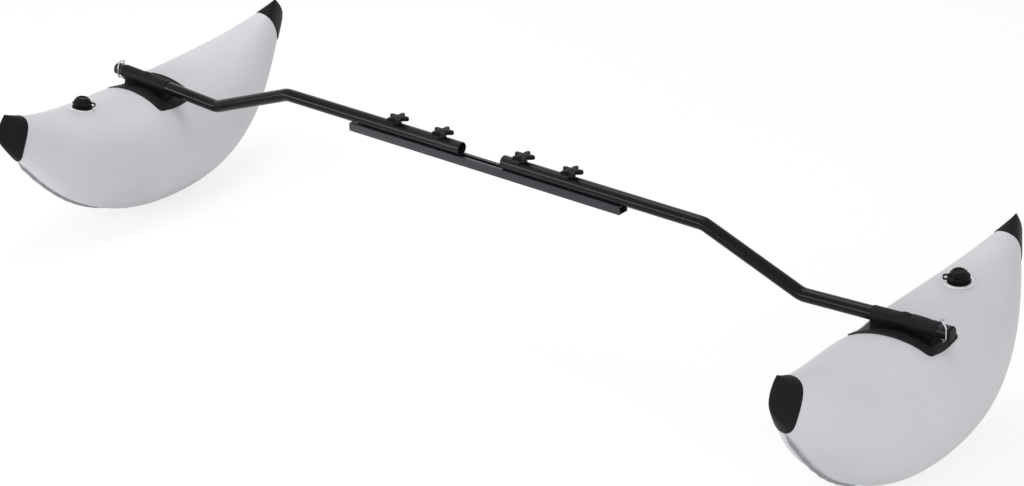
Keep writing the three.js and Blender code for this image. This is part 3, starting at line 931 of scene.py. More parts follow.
@dataclass(frozen=True)
class ValvePlace:
    """Where the valve stands on the deck."""

    along: float = 0.203
    slope_step: float = 0.05

    def matrix(self, lines: FloatLines) -> Matrix:
        """The valve's frame, square to the deck, inside the float's frame.

        Args:
            lines: The float's shape.

        Returns:
            The frame.
        """
        share = self.along / lines.half_length
        step = share * self.slope_step
        rise = lines.deck(share + step) - lines.deck(share - step)
        tilt = math.atan2(rise, 2 * step * lines.half_length)
        return Matrix.Translation((0.0, self.along, lines.deck(share))) @ Matrix.Rotation(tilt, 4, "X")


class Places:
    """The frames of one side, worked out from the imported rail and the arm's run."""

    def __init__(self, side: Side, run: ArmRun, lines: FloatLines, pin_place: float) -> None:
        """Works out the frames.

        Args:
            side: Which side.
            run: The arm's run.
            lines: The float's shape.
            pin_place: The lock pin's distance past the float's middle.
        """
        self.side = side
        self.arm = Matrix.Translation((0.0, 0.0, arm_axis_height())) @ Matrix.Rotation(side.turn, 4, "Z")
        middle = Matrix.Translation((run.float_place, 0.0, run.float_drop))
        self.stretch = self.arm @ middle @ Matrix.Rotation(-run.slope, 4, "Y")
        self.float = self.stretch @ Matrix.Rotation(lines.trim, 4, "X")
        self.valve = ValvePlace().matrix(lines)
        turn = Matrix.Rotation(side.bail_turn, 4, "Z")
        self.pin = self.stretch @ Matrix.Translation((pin_place, 0.0, 0.0)) @ turn
        outwards = Matrix.Rotation(math.pi / 2, 4, "Y")
        self.end = self.stretch @ Matrix.Translation((run.overhang, 0.0, 0.0)) @ outwards

    def name(self, word: str) -> str:
        """A name that starts with the side's word."""
        return f"{self.side.word}_{word}"

    def put(self, piece: Piece, place: Matrix, finish: Finish, body: str, *nodes: str) -> None:
        """Moves a piece from the frame that it was made in to its place, and dresses it.

        Args:
            piece: The piece.
            place: The frame that it was made in.
            finish: Its finish.
            body: The side's body that it rides on.
            nodes: The side's nodes that it replaces.
        """
        piece.data.transform(place)
        dress(piece, finish, self.name(body), *(self.name(node) for node in nodes))


def arm_axis_height() -> float:
    """Height of the inner stretches' axis over the ground, from the edges of the rail's slot.

    Returns:
        The height.
    """
    rail_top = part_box("base_rail")[1].z
    return rail_top + math.sqrt((ArmRun.radius + GAP) ** 2 - (BaseRail.slot_width / 2) ** 2)


# The cross arm and its fittings


@dataclass
class BaseRail:
    """The slotted channel that both arms lie on."""

    slot_width: float = 0.009
    wall: float = 0.002
    hole_radius: float = 0.00275
    hole_inset: float = 0.028
    hole_spacing: float = 0.290
    edge: float = 0.0006
    bevel: float = 0.0018
    end_edge: float = 0.0003

    def build(self) -> None:
        """Makes the channel with its four fixing holes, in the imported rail's box."""
        low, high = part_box("base_rail")
        half_width, half_length = high.y, high.x
        inside = half_width - self.wall
        slot, lip_under = self.slot_width / 2, high.z - self.wall
        half = [
            (half_width, low.z), (half_width, high.z - self.bevel), (half_width - self.bevel, high.z),
            (slot, high.z), (slot, lip_under), (inside, lip_under), (inside, low.z + self.wall),
        ]
        outline = half + [(-y, z) for y, z in reversed(half)]
        section = rounded(outline, self.edge, steps=3, closed=True)
        rings = np.array([[(x, y, z) for y, z in section] for x in (-half_length, half_length)])
        rail = lofted("slotted_rail", rings, Cut.FLAT)
        outermost = half_length - self.hole_inset
        holes = []
        for place in (outermost, outermost - self.hole_spacing):
            for side in (-1, 1):
                spot = Matrix.Translation((side * place, 0.0, low.z))
                holes.append(rod(self.hole_radius, -self.wall, 2 * self.wall, spot))
        drilled(rail, holes)
        softened(rail, self.end_edge)
        # The channel gets the lighter anodised copy, whose colour is painted sheen
        dress(rail, ANODISED_WITH_PAINTED_SHEEN, "rail", "base_rail")


@dataclass
class CrossArm:
    """One bent tube with its end cap."""

    run: ArmRun
    places: Places
    knob_places: Pair = (0.107, 0.230)
    stud_radius: float = 0.003
    pin_radius: float = 0.0025
    pin_place: float = 0.0805
    lip: float = 0.0004
    sides: int = 56
    bend_step: float = math.radians(1.5)
    cap_flange: float = 0.0025
    cap_plug: float = 0.014
    cap_plug_taper: float = 0.9
    cap_crown: float = 0.0015
    cap_edge: float = 0.0008

    def build(self) -> None:
        """Makes the tube and the cap."""
        self.build_tube()
        self.build_cap()

    def build_tube(self) -> None:
        """Makes the tube, with the holes for the studs and the lock pin."""
        run = self.run
        path = run.path(self.bend_step)
        first_side = (0.0, 1.0, 0.0)
        outer = swept(path, circle(run.radius, self.sides), first_side)
        inner = swept(path, circle(run.radius - run.wall, self.sides), first_side)
        eased = swept(path, circle(run.radius - self.lip, self.sides), first_side)
        for end, inwards in ((0, 1), (-1, -1)):
            along = path[1][end] * self.lip * inwards
            outer[end] += along
        rings = np.concatenate([eased[:1], outer, eased[-1:], inner[::-1]])
        tube = lofted(self.places.name("arm_tube"), rings, Cut.LOOPED)
        reach = 2 * run.radius
        holes = []
        for place in self.knob_places:
            spot = Matrix.Translation((place, 0.0, 0.0))
            holes.append(rod(self.stud_radius + GAP, -reach, reach, spot))
        stretch = self.places.arm.inverted() @ self.places.stretch
        spot = stretch @ Matrix.Translation((self.pin_place, 0.0, 0.0))
        holes.append(rod(self.pin_radius + GAP, -reach, reach, spot))
        drilled(tube, holes)
        self.places.put(tube, self.places.arm, ANODISED, "arm_body", "arm")

    def build_cap(self) -> None:
        """Makes the cap that closes the tube's outer end."""
        radius = self.run.radius
        plug = radius - self.run.wall - GAP
        crown = self.cap_flange + self.cap_crown
        tapered = self.cap_plug_taper
        profile = [(plug * tapered, -self.cap_plug), (plug, -self.cap_plug * tapered), (plug, GAP),
                   (radius, GAP), (radius, self.cap_flange), (radius - self.cap_crown, crown),
                   (radius / 8, crown)]
        cap = lofted(self.places.name("tube_cap"), turned(rounded(profile, self.cap_edge), self.sides))
        self.places.put(cap, self.places.end, PLASTIC, "arm_body", "arm_end_cap")


@dataclass
class ClampKnob:
    """A lobed knob that clamps the arm down on the rail, with the stud and nut below it."""

    places: Places
    word: str
    place: float
    tip_radius: float = 0.0245
    valley_radius: float = 0.0125
    neck_radius: float = 0.0085
    neck_height: float = 0.0060
    plate_height: float = 0.0085
    edge: float = 0.0030
    under_edge: float = 0.0022
    boss_radius: float = 0.0072
    boss_edge: float = 0.0004
    boss_rise: float = 0.0004
    edge_steps: int = 6
    lobe_power: float = 1.25
    lobe_count: int = 5
    phase: float = math.radians(25.0)
    sides: int = 120

    def lobe(self, turn: float) -> float:
        """How far the rim stands out from its valley, as a share, at a turn."""
        return ((1 + math.cos(self.lobe_count * (turn - self.phase))) / 2) ** self.lobe_power

    def rim_rings(self, bottom: float) -> np.ndarray:
        """The lobed head's rings, from its underside to the edge of its top.

        Args:
            bottom: Height of the underside.

        Returns:
            The rings.
        """
        top = bottom + self.plate_height
        below, above = self.under_edge, self.edge
        quarter = np.linspace(0, math.pi / 2, self.edge_steps)
        under = [(below * (1 - math.sin(a)), bottom + below * (1 - math.cos(a))) for a in quarter]
        over = [(above * (1 - math.cos(a)), top - above * (1 - math.sin(a))) for a in quarter]
        reach = self.tip_radius - self.valley_radius
        rings = []
        for inset, height in under + over:
            profile = [(self.valley_radius - inset, height)]
            rings.append(turned(profile, self.sides, lambda turn: reach * self.lobe(turn))[0])
        return np.array(rings)

    def build(self) -> None:
        """Makes the knob, and gives the stud and the nut under it their finish."""
        bottom = ArmRun.radius + GAP
        head_bottom = bottom + self.neck_height
        neck = turned([(self.neck_radius, bottom), (self.neck_radius, head_bottom)], self.sides)
        rim = self.rim_rings(head_bottom)
        top = head_bottom + self.plate_height
        boss, edge, rise = self.boss_radius, self.boss_edge, self.boss_rise
        button = [(boss + 3 * edge, top), (boss + edge, top + rise * 0.4), (boss - edge, top + rise),
                  (boss * 0.3, top + rise * 0.8)]
        rings = np.concatenate([neck, rim, turned(button, self.sides)])
        knob = lofted(self.places.name(f"{self.word}_star_knob"), rings)
        along = self.place if self.places.side is Side.RIGHT else -self.place
        place = Matrix.Translation((along, 0.0, arm_axis_height()))
        self.places.put(knob, place, PLASTIC, f"{self.word}_knob_body", f"{self.word}_knob")
        for word in ("stud", "slot_nut"):
            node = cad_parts[self.places.name(f"{self.word}_{word}")]
            for slot in node.material_slots:
                slot.material = STEEL.material()


@dataclass
class LockPin:
    """The pin through the tube's outer end, with the wire bail that holds it."""

    run: ArmRun
    places: Places
    radius: float = 0.0025
    head_radius: float = 0.0042
    head_height: float = 0.006
    tip_reach: float = 0.0082
    tip_taper: float = 0.0015
    wire_radius: float = 0.0015
    reach: float = 0.022
    rise: float = 0.009
    leg_bend: float = 0.0022
    arch_bend: float = 0.011
    hook_reach: float = 0.0035
    edge: float = 0.0006
    wire_end: float = 0.6
    bend_step: float = math.radians(9.0)
    sides: int = 32
    wire_sides: int = 16

    def build(self) -> None:
        """Makes the pin and the bail."""
        head_top = -self.run.radius - GAP
        axis = head_top - self.head_height / 2
        self.build_pin(head_top, axis)
        self.build_bail(axis)

    def build_pin(self, head_top: float, axis: float) -> None:
        """Makes the pin, with the cross hole in its head.

        Args:
            head_top: Height of the head's upper face.
            axis: Height of the cross hole.
        """
        tip, foot = self.run.radius + self.tip_reach, head_top - self.head_height
        outline = [(self.head_radius / 4, foot), (self.head_radius, foot), (self.head_radius, head_top),
                   (self.radius, head_top), (self.radius, tip - self.tip_taper),
                   (self.radius - self.tip_taper, tip), (self.radius / 8, tip)]
        pin = lofted(self.places.name("pin"), turned(rounded(outline, self.edge), self.sides))
        across = Matrix.Translation((0.0, 0.0, axis)) @ Matrix.Rotation(math.pi / 2, 4, "X")
        reach = 2 * self.head_radius
        drilled(pin, [rod(self.wire_radius + GAP, -reach, reach, across)])
        self.places.put(pin, self.places.pin, STEEL, "arm_body", "lock_pin")

    def build_bail(self, axis: float) -> None:
        """Makes the wire, from the head round one side of the tube and over the pin's tip.

        Args:
            axis: Height of the cross hole.
        """
        top = self.run.radius + self.tip_reach + GAP + self.wire_radius
        side = -(self.head_radius + GAP + self.leg_bend)
        corners = [(0.0, -side, axis), (0.0, side, axis), (self.reach, side, axis + self.rise),
                   (self.reach, side, top), (0.0, side, top), (0.0, self.hook_reach, top)]
        radii = [self.leg_bend, self.arch_bend, self.arch_bend, self.leg_bend]
        path = bent_path(corners, radii, self.bend_step)
        first_side = (0.0, 0.0, 1.0)
        rings = swept(path, circle(self.wire_radius, self.wire_sides), first_side)
        eased = swept(path, circle(self.wire_radius * self.wire_end, self.wire_sides), first_side)
        for end, inwards in ((0, 1), (-1, -1)):
            rings[end] += path[1][end] * self.wire_radius * (1 - self.wire_end) * inwards
        wire = lofted(self.places.name("bail_wire"), np.concatenate([eased[:1], rings, eased[-1:]]))
        self.places.put(wire, self.places.pin, STEEL, "bail_body", "wire_bail")


# The float and what is welded to it


@dataclass
class InflatedFloat:
    """The skin, its keel weld and its nose patches."""

    lines: FloatLines
    places: Places
    rows: int = 300
    tip_crowding: float = 0.25
    keel_band: float = 0.16 * math.pi
    keel_columns: int = 16
    side_columns: int = 37
    fold_depth: float = 0.0009
    fold_reach: float = 0.2
    fold_waves: tuple[float, ...] = (0.0127, 0.0191, 0.0313)
    fold_fade: int = 6
    dent_depth: float = 0.0007
    dent_fade: int = 4
    dent_turns: tuple[float, float] = (19.0, 7.0)
    dent_lean: float = 2.1
    dent_count: int = 3
    seam_half_width: float = 0.0012
    seam_depth: float = 0.005
    seam_sway: float = 0.0007
    seam_waves: tuple[float, float, float] = (0.034, 0.0213, 0.0277)
    seam_taper: float = 0.014
    seam_end_share: float = 0.12
    seam_notch: float = 0.06
    bar_pitch: float = 0.0042
    bar_width: float = 0.0013
    bar_height: float = 0.0026
    bar_proud: float = 0.0007
    nose_wall: float = 0.0015
    nose_deck_inset: float = 0.0575
    nose_keel_inset: float = 0.033
    nose_edge_bow: float = 0.054
    nose_heels: Pair = (0.003, -0.021)
    nose_heel_spread: float = 1.25
    nose_sides: int = 96
    nose_rows: int = 25
    nose_inner_rows: int = 20
    nose_edge_points: int = 60
    nose_search_from: float = 0.6
    brim_steps: tuple[float, ...] = (0.0, 0.08, 0.3, 0.6, 1.0)
    brim_foot: float = 0.1
    tip_rows: int = 5
    tip_narrow: float = 0.04

    def build(self, bars: Pattern) -> None:
        """Makes the float.

        Args:
            bars: The pattern of bars on the keel weld.
        """
        self.build_skin()
        self.build_seam(bars)
        for word, end, heel in zip("ab", (1.0, -1.0), self.heels()):
            self.build_nose(word, end, heel)

    def heels(self) -> Pair:
        """How far each nose patch's point on the keel runs in past the even curve, +Y end first."""
        near, far = self.nose_heels
        return (far, near) if self.places.side is Side.RIGHT else (near, far)

    def folds(self, share: np.ndarray, angle: np.ndarray) -> np.ndarray:
        """How far the skin is drawn in by small folds along the keel weld, and by soft dents.

        Args:
            share: Place along the half length.
            angle: Turn round the section.

        Returns:
            The offset out from the even skin, which is never positive.
        """
        along = share * self.lines.half_length
        ripple = sum(np.sin(2 * math.pi * along / wave + k) for k, wave in enumerate(self.fold_waves))
        out = np.abs(share)
        near_keel = np.exp(-(((angle - math.pi) / self.fold_reach) ** 2)) * (1 - out**self.fold_fade)
        folds = self.fold_depth * near_keel * (ripple / len(self.fold_waves) - 1) / 2
        lengthwise, crosswise = self.dent_turns
        dents = np.sin(lengthwise * along + self.dent_lean * np.cos(angle))
        dents = dents * np.sin(self.dent_count * angle + crosswise * along)
        return folds + self.dent_depth * (dents - 1) / 2 * (1 - out**self.dent_fade)

    def build_skin(self) -> None:
        """Makes the closed skin, with its points closer together near the tips and the keel."""
        steps = np.linspace(-1, 1, self.rows)
        shares = (1 - self.tip_crowding) * steps + self.tip_crowding * np.sin(steps * math.pi / 2)
        fine = np.linspace(0, 1, self.keel_columns + 1)[:-1] * self.keel_band
        coarse = np.linspace(self.keel_band, math.pi, self.side_columns)
        half = np.concatenate([fine, coarse])
        angles = np.concatenate([math.pi - half, 2 * math.pi - (math.pi - half)[1:-1][::-1]])
        share, angle = shares[:, None], angles[None, :]
        rings = self.lines.point(share, angle, self.folds(share, angle))
        skin = lofted(self.places.name("inflated_skin"), rings)
        self.places.put(skin, self.places.float, FLOAT_PVC, "float_body", "float_skin")

    def edge_share(self, angle: np.ndarray, offset: float, heel: float) -> np.ndarray:
        """Where the section lines cross the edge of a nose patch.

        Args:
            angle: Turns round the section.
            offset: Distance out from the skin.
            heel: How far the edge's point on the keel runs in past the even curve.

        Returns:
            The shares of the half length.
        """
        lines = self.lines
        deck_edge = np.array([lines.half_length - self.nose_deck_inset, lines.deck(1.0)])
        keel_edge = np.array([lines.half_length - self.nose_keel_inset, lines.keel(0.0) / 2])
        bow = (deck_edge + keel_edge) / 2 + (self.nose_edge_bow, 0.0)
        steps = np.linspace(1, 0, self.nose_edge_points)[:, None]
        curve = deck_edge * (1 - steps) ** 2 + 2 * bow * steps * (1 - steps) + keel_edge * steps**2
        drawn = heel * np.maximum(0.0, 1 - np.abs(angle - math.pi) / self.nose_heel_spread)
        low, high = np.full(angle.shape, self.nose_search_from), np.ones(angle.shape)
        for _ in range(HALVINGS):
            middle = (low + high) / 2
            spots = lines.point(middle, angle, offset)
            short = spots[..., 1] < np.interp(spots[..., 2], curve[:, 1], curve[:, 0]) - drawn
            low, high = np.where(short, middle, low), np.where(short, high, middle)
        return low

    def build_nose(self, word: str, end: float, heel: float) -> None:
        """Makes the patch over one nose, as a cup with a wall.

        Args:
            word: The end's letter.
            end: 1 or -1.
            heel: How far its point on the keel runs in past the even curve.
        """
        lines = self.lines
        angles = np.linspace(0, 2 * math.pi, self.nose_sides, endpoint=False)
        edge = self.edge_share(angles, self.nose_wall, heel)
        tip_radius = lines.stem_half_width + self.nose_wall
        last = 1 - tip_radius / lines.half_length
        brim = self.nose_wall
        outside: list[np.ndarray] = []
        for inset in brim * np.array(self.brim_steps):
            rise = math.sqrt(1 - (1 - inset / brim) ** 2)
            share = edge + inset / lines.half_length
            offset = self.nose_wall * (self.brim_foot + (1 - self.brim_foot) * rise)
            outside.append(lines.point(share, angles, offset))
        start = edge + brim / lines.half_length
        for step in np.linspace(0, 1, self.nose_rows + 1)[1:]:
            outside.append(lines.point(start + (last - start) * step, angles, self.nose_wall))
        tip = lines.point(np.ones(angles.shape), angles, self.nose_wall)
        for turn in np.linspace(0, math.pi / 2, self.tip_rows + 1)[1:]:
            ring = tip.copy()
            ring[:, 0] *= max(math.cos(turn), self.tip_narrow)
            ring[:, 1] -= tip_radius * (1 - math.sin(turn))
            outside.append(ring)
        inwards = np.linspace(1, 0, self.nose_inner_rows)
        inside = [lines.point(edge + (1 - edge) * step, angles, FILM) for step in inwards]
        rings = np.array(inside + outside)
        rings[..., 1] *= end
        cap = lofted(self.places.name(f"nose_patch_{word}"), rings)
        self.places.put(cap, self.places.float, BLACK_PVC, "float_body", f"nose_cap_{word}")

    def build_seam(self, bars: Pattern) -> None:
        """Makes the welded strip along the keel, and the bars of its weld.

        Args:
            bars: The pattern of bars.
        """
        lines = self.lines
        keel = np.array([math.pi])
        edges = [float(self.edge_share(keel, self.nose_wall, heel)[0]) for heel in self.heels()]
        first, last = GAP / lines.half_length - edges[1], edges[0] - GAP / lines.half_length
        shares = np.linspace(first, last, 2 * self.rows)
        along = shares * lines.half_length
        to_end = np.minimum(last - shares, shares - first)
        taper = np.clip(to_end * lines.half_length / self.seam_taper, 0.0, 1.0)
        taper = self.seam_end_share + (1 - self.seam_end_share) * taper * taper * (3 - 2 * taper)
        turns = [2 * math.pi * along / wave for wave in self.seam_waves]
        sway = self.seam_sway * (np.sin(turns[0]) + 0.6 * np.sin(turns[1] + 1))
        notch = self.seam_notch * (1 + np.sin(turns[2])) * taper
        depth = self.seam_depth * (taper - notch)
        under = np.full(shares.shape, math.pi)
        top = lines.point(shares, under, -self.seam_depth / 2)
        low = lines.point(shares, under, depth)
        width = self.seam_half_width
        section = [(-width, 0.0), (-width, 0.5), (-width, 0.93), (-width * 0.6, 1.0),
                   (width * 0.6, 1.0), (width, 0.93), (width, 0.5), (width, 0.0)]
        rings = []
        for side, down in section:
            ring = top * (1 - down) + low * down
            ring[:, 0] += side + sway * taper * down**2
            rings.append(ring)
        seam = lofted(self.places.name("keel_weld"), np.array(rings).transpose(1, 0, 2))
        line = lines.point(shares, under, depth * 0.5)
        line[:, 0] += sway * taper * 0.5
        inner = line[taper > 0.99]
        links = [(k, k + 1) for k in range(len(inner) - 1)]
        guide = bpy.data.meshes.new("guide")
        guide.from_pydata(inner.tolist(), links, [])
        carrier = bpy.data.objects.new("guide", guide)
        sizes = {"Pitch": self.bar_pitch, "Bar Depth": 2 * width + self.bar_proud,
                 "Bar Width": self.bar_width, "Bar Height": self.bar_height}
        laid = bars.run(self.places.name("weld_bars"), carrier, sizes)
        bpy.data.objects.remove(carrier)
        self.places.put(seam, self.places.float, SEAM_PVC, "float_body", "keel_seam")
        self.places.put(laid, self.places.float, SEAM_PVC, "float_body")


@dataclass
class DeckPatch:
    """The woven patch welded on the deck under the sleeve, with its raised lozenges."""

    lines: FloatLines
    places: Places
    length: float = 0.178
    width: float = 0.107
    shift: float = -0.003
    corner: float = 0.009
    wall: float = 0.0014
    lozenge_pitch: float = 0.0094
    lozenge_size: float = 0.0034
    lozenge_height: float = 0.0006
    lozenge_slenderness: float = 0.5
    bare_middle: float = 0.014
    bare_spread: float = 0.15
    margin: float = 0.005
    corner_reach: float = 1.3
    corner_steps: int = 8
    point_spacing: float = 0.005
    rings: int = 22
    middle_share: float = 0.04

    def outline(self) -> np.ndarray:
        """The patch's edge in plan, with points close enough to follow the deck.

        Returns:
            The points.
        """
        x, y = self.length / 2, self.width / 2
        box = [(x, y), (-x, y), (-x, -y), (x, -y)]
        reach = self.corner * self.corner_reach
        corners = [np.array(c) for c in rounded(box, reach, steps=self.corner_steps, closed=True)]
        points = []
        for start, end in zip(corners, corners[1:] + corners[:1]):
            count = max(1, round(math.dist(start, end) / self.point_spacing))
            points += [start + (end - start) * (step / count) for step in range(count)]
        return np.array(points)

    def build(self, lozenges: Pattern) -> None:
        """Makes the patch and its lozenges.

        Args:
            lozenges: The pattern of lozenges.
        """
        outline = self.outline()
        base, top = FILM, GAP + self.wall
        edge = self.wall / (self.width / 2)
        shares = np.linspace(self.middle_share, 1 - edge, self.rings)
        brim = [(1 - edge * 0.5, 0.95), (1 - edge * 0.12, 0.75), (1.0, 0.4), (1.0, 0.0)]
        levels = [(share, 1.0) for share in shares] + brim + [(share, 0.0) for share in shares[::-1]]
        rings = []
        for share, rise in levels:
            plan = outline * share + (self.shift, 0.0)
            height = self.lines.height(plan[:, 0], plan[:, 1], base + (top - base) * rise)
            rings.append(np.column_stack([plan, height]))
        patch = lofted(self.places.name("woven_patch"), np.array(rings))
        sizes = {
            "Length": self.length - 2 * self.margin - self.lozenge_pitch / 2,
            "Width": self.width - 2 * self.margin,
            "Shift": self.shift,
            "Pitch": self.lozenge_pitch,
            "Bare Middle": self.bare_middle,
            "Bare Spread": self.bare_spread,
            "Size": self.lozenge_size,
            "Slenderness": self.lozenge_slenderness,
            "Height": self.lozenge_height,
        }
        laid = lozenges.run(self.places.name("patch_lozenges"), patch, sizes)
        self.places.put(patch, self.places.float, SCRIM_PVC, "float_body", "deck_patch")
        self.places.put(laid, self.places.float, SCRIM_PVC, "float_body")


@dataclass
class TubeSleeve:
    """The sleeve that the tube passes through, with its saddle and the oval button on top."""

    lines: FloatLines
    run: ArmRun
    places: Places
    wall: float = 0.0015
    length: float = 0.140
    shift: float = 0.004
    saddle_inset: float = 0.005
    saddle_end: tuple[Pair, ...] = ((0.0012, 0.9), (0.0004, 0.5), (0.0, 0.0))
    even_stretch: Pair = (0.004, 0.003)
    neck_half_width: float = 0.0095
    neck_depth: float = 0.021
    skirt_half_width: float = 0.024
    skirt_depth: float = 0.036
    button: tuple[float, float, float] = (0.010, 0.0055, 0.002)
    button_sides: int = 40
    button_root: float = -0.003
    lip: float = 0.001
    seat: float = 0.00175
    leave: float = -math.radians(38.0)
    highest_foot: float = 0.8
    foot_lift: float = 0.0005
    stations: int = 34
    arc_points: int = 22
    flank_points: int = 12
    under_points: int = 4

    @property
    def radius(self) -> float:
        """Outer radius of the sleeve."""
        return self.run.radius + GAP + self.wall

    def foot(self, across: float) -> Pair:
        """Where the saddle's side meets the patch.

        Args:
            across: X of the section.

        Returns:
            The foot's distance from the middle, and its height.
        """
        spread = (self.skirt_half_width - self.neck_half_width) / (self.skirt_depth - self.neck_depth)
        low, high = -self.skirt_depth, -self.radius * self.highest_foot
        for _ in range(HALVINGS):
            middle = (low + high) / 2
            out = self.neck_half_width + max(0.0, -self.neck_depth - middle) * spread
            surface = float(self.lines.height(np.array([across]), np.array([out]), self.seat)[0])
            low, high = (middle, high) if middle < surface else (low, middle)
        return self.neck_half_width + max(0.0, -self.neck_depth - low) * spread, low

    def half_section(self, across: float, saddle: float) -> list[Pair]:
        """Half of the sleeve's outer outline, from the top round to the bottom.

        Args:
            across: X of the section.
            saddle: How much of the saddle is there, from 0 to 1.

        Returns:
            Points of distance from the middle and height.
        """
        radius = self.radius
        arc = np.linspace(math.pi / 2, self.leave, self.arc_points)
        points = [(radius * math.cos(turn), radius * math.sin(turn)) for turn in arc]
        foot = np.array(self.foot(across))
        start = np.array(points[-1])
        control = np.array([self.neck_half_width, max(-self.neck_depth, foot[1])])
        sweep = np.linspace(0, 1, self.flank_points + 1)[1:]
        under = np.linspace(1, 0, self.under_points + 1)[1:]
        formed = [start * (1 - s) ** 2 + 2 * control * s * (1 - s) + foot * s**2 for s in sweep]
        formed += [np.array([foot[0] * u, foot[1] + self.foot_lift * (1 - u)]) for u in under]
        bare = np.linspace(self.leave, -math.pi / 2, len(formed) + 1)[1:]
        for shaped, turn in zip(formed, bare):
            plain = np.array([radius * math.cos(turn), radius * math.sin(turn)])
            points.append(tuple(plain * (1 - saddle) + shaped * saddle))
        return points

    def section_stations(self) -> list[tuple[float, float, float]]:
        """Where the sleeve's sections lie.

        Returns:
            For each, its X, how much of the saddle is there and how far its outside is eased in.
        """
        start, end, lip = self.shift - self.length / 2, self.shift + self.length / 2, self.lip
        last = end - self.saddle_inset
        stations = [(start, 1.0, lip), (start + lip * 0.3, 1.0, lip * 0.3), (start + lip, 1.0, 0.0)]
        first_gap, last_gap = self.even_stretch
        even = np.linspace(start + first_gap, last - last_gap, self.stations)
        stations += [(x, 1.0, 0.0) for x in even]
        stations += [(last - inset, saddle, 0.0) for inset, saddle in self.saddle_end]
        return stations + [(end - lip, 0.0, 0.0), (end - lip * 0.3, 0.0, lip * 0.3), (end, 0.0, lip)]

    def build(self) -> None:
        """Makes the sleeve and its button."""
        outer, bore = [], []
        inside = self.run.radius + GAP
        for across, saddle, eased in self.section_stations():
            half = self.half_section(across, saddle)
            outline = half + [(-y, z) for y, z in half[1:-1][::-1]]
            reach = [math.hypot(y, z) for y, z in outline]
            outside = [1 - eased / r for r in reach]
            outer.append([(across, y * share, z * share) for (y, z), share in zip(outline, outside)])
            bore.append([(across, y * inside / r, z * inside / r) for (y, z), r in zip(outline, reach)])
        sleeve = lofted(self.places.name("tube_sleeve"), np.array(outer + bore[::-1]), Cut.LOOPED)
        self.places.put(sleeve, self.places.float, BLACK_PVC, "float_body", "sleeve")
        self.build_button()

    def build_button(self) -> None:
        """Makes the oval button, a raised rim round a dished middle."""
        half_length, half_width, rise = self.button
        levels = [(1.0, self.button_root), (1.0, rise * 0.55), (0.95, rise * 0.85), (0.85, rise),
                  (0.7, rise), (0.62, rise * 0.8), (0.56, rise * 0.55), (0.4, rise * 0.75),
                  (0.15, rise * 0.9)]
        rings = []
        for share, height in levels:
            ring = [(self.shift + half_length * share * a, half_width * share * b, self.radius + height)
                    for a, b in circle(1.0, self.button_sides)]
            rings.append(ring)
        button = lofted(self.places.name("sleeve_button"), np.array(rings))
        self.places.put(button, self.places.float, PLASTIC, "float_body")


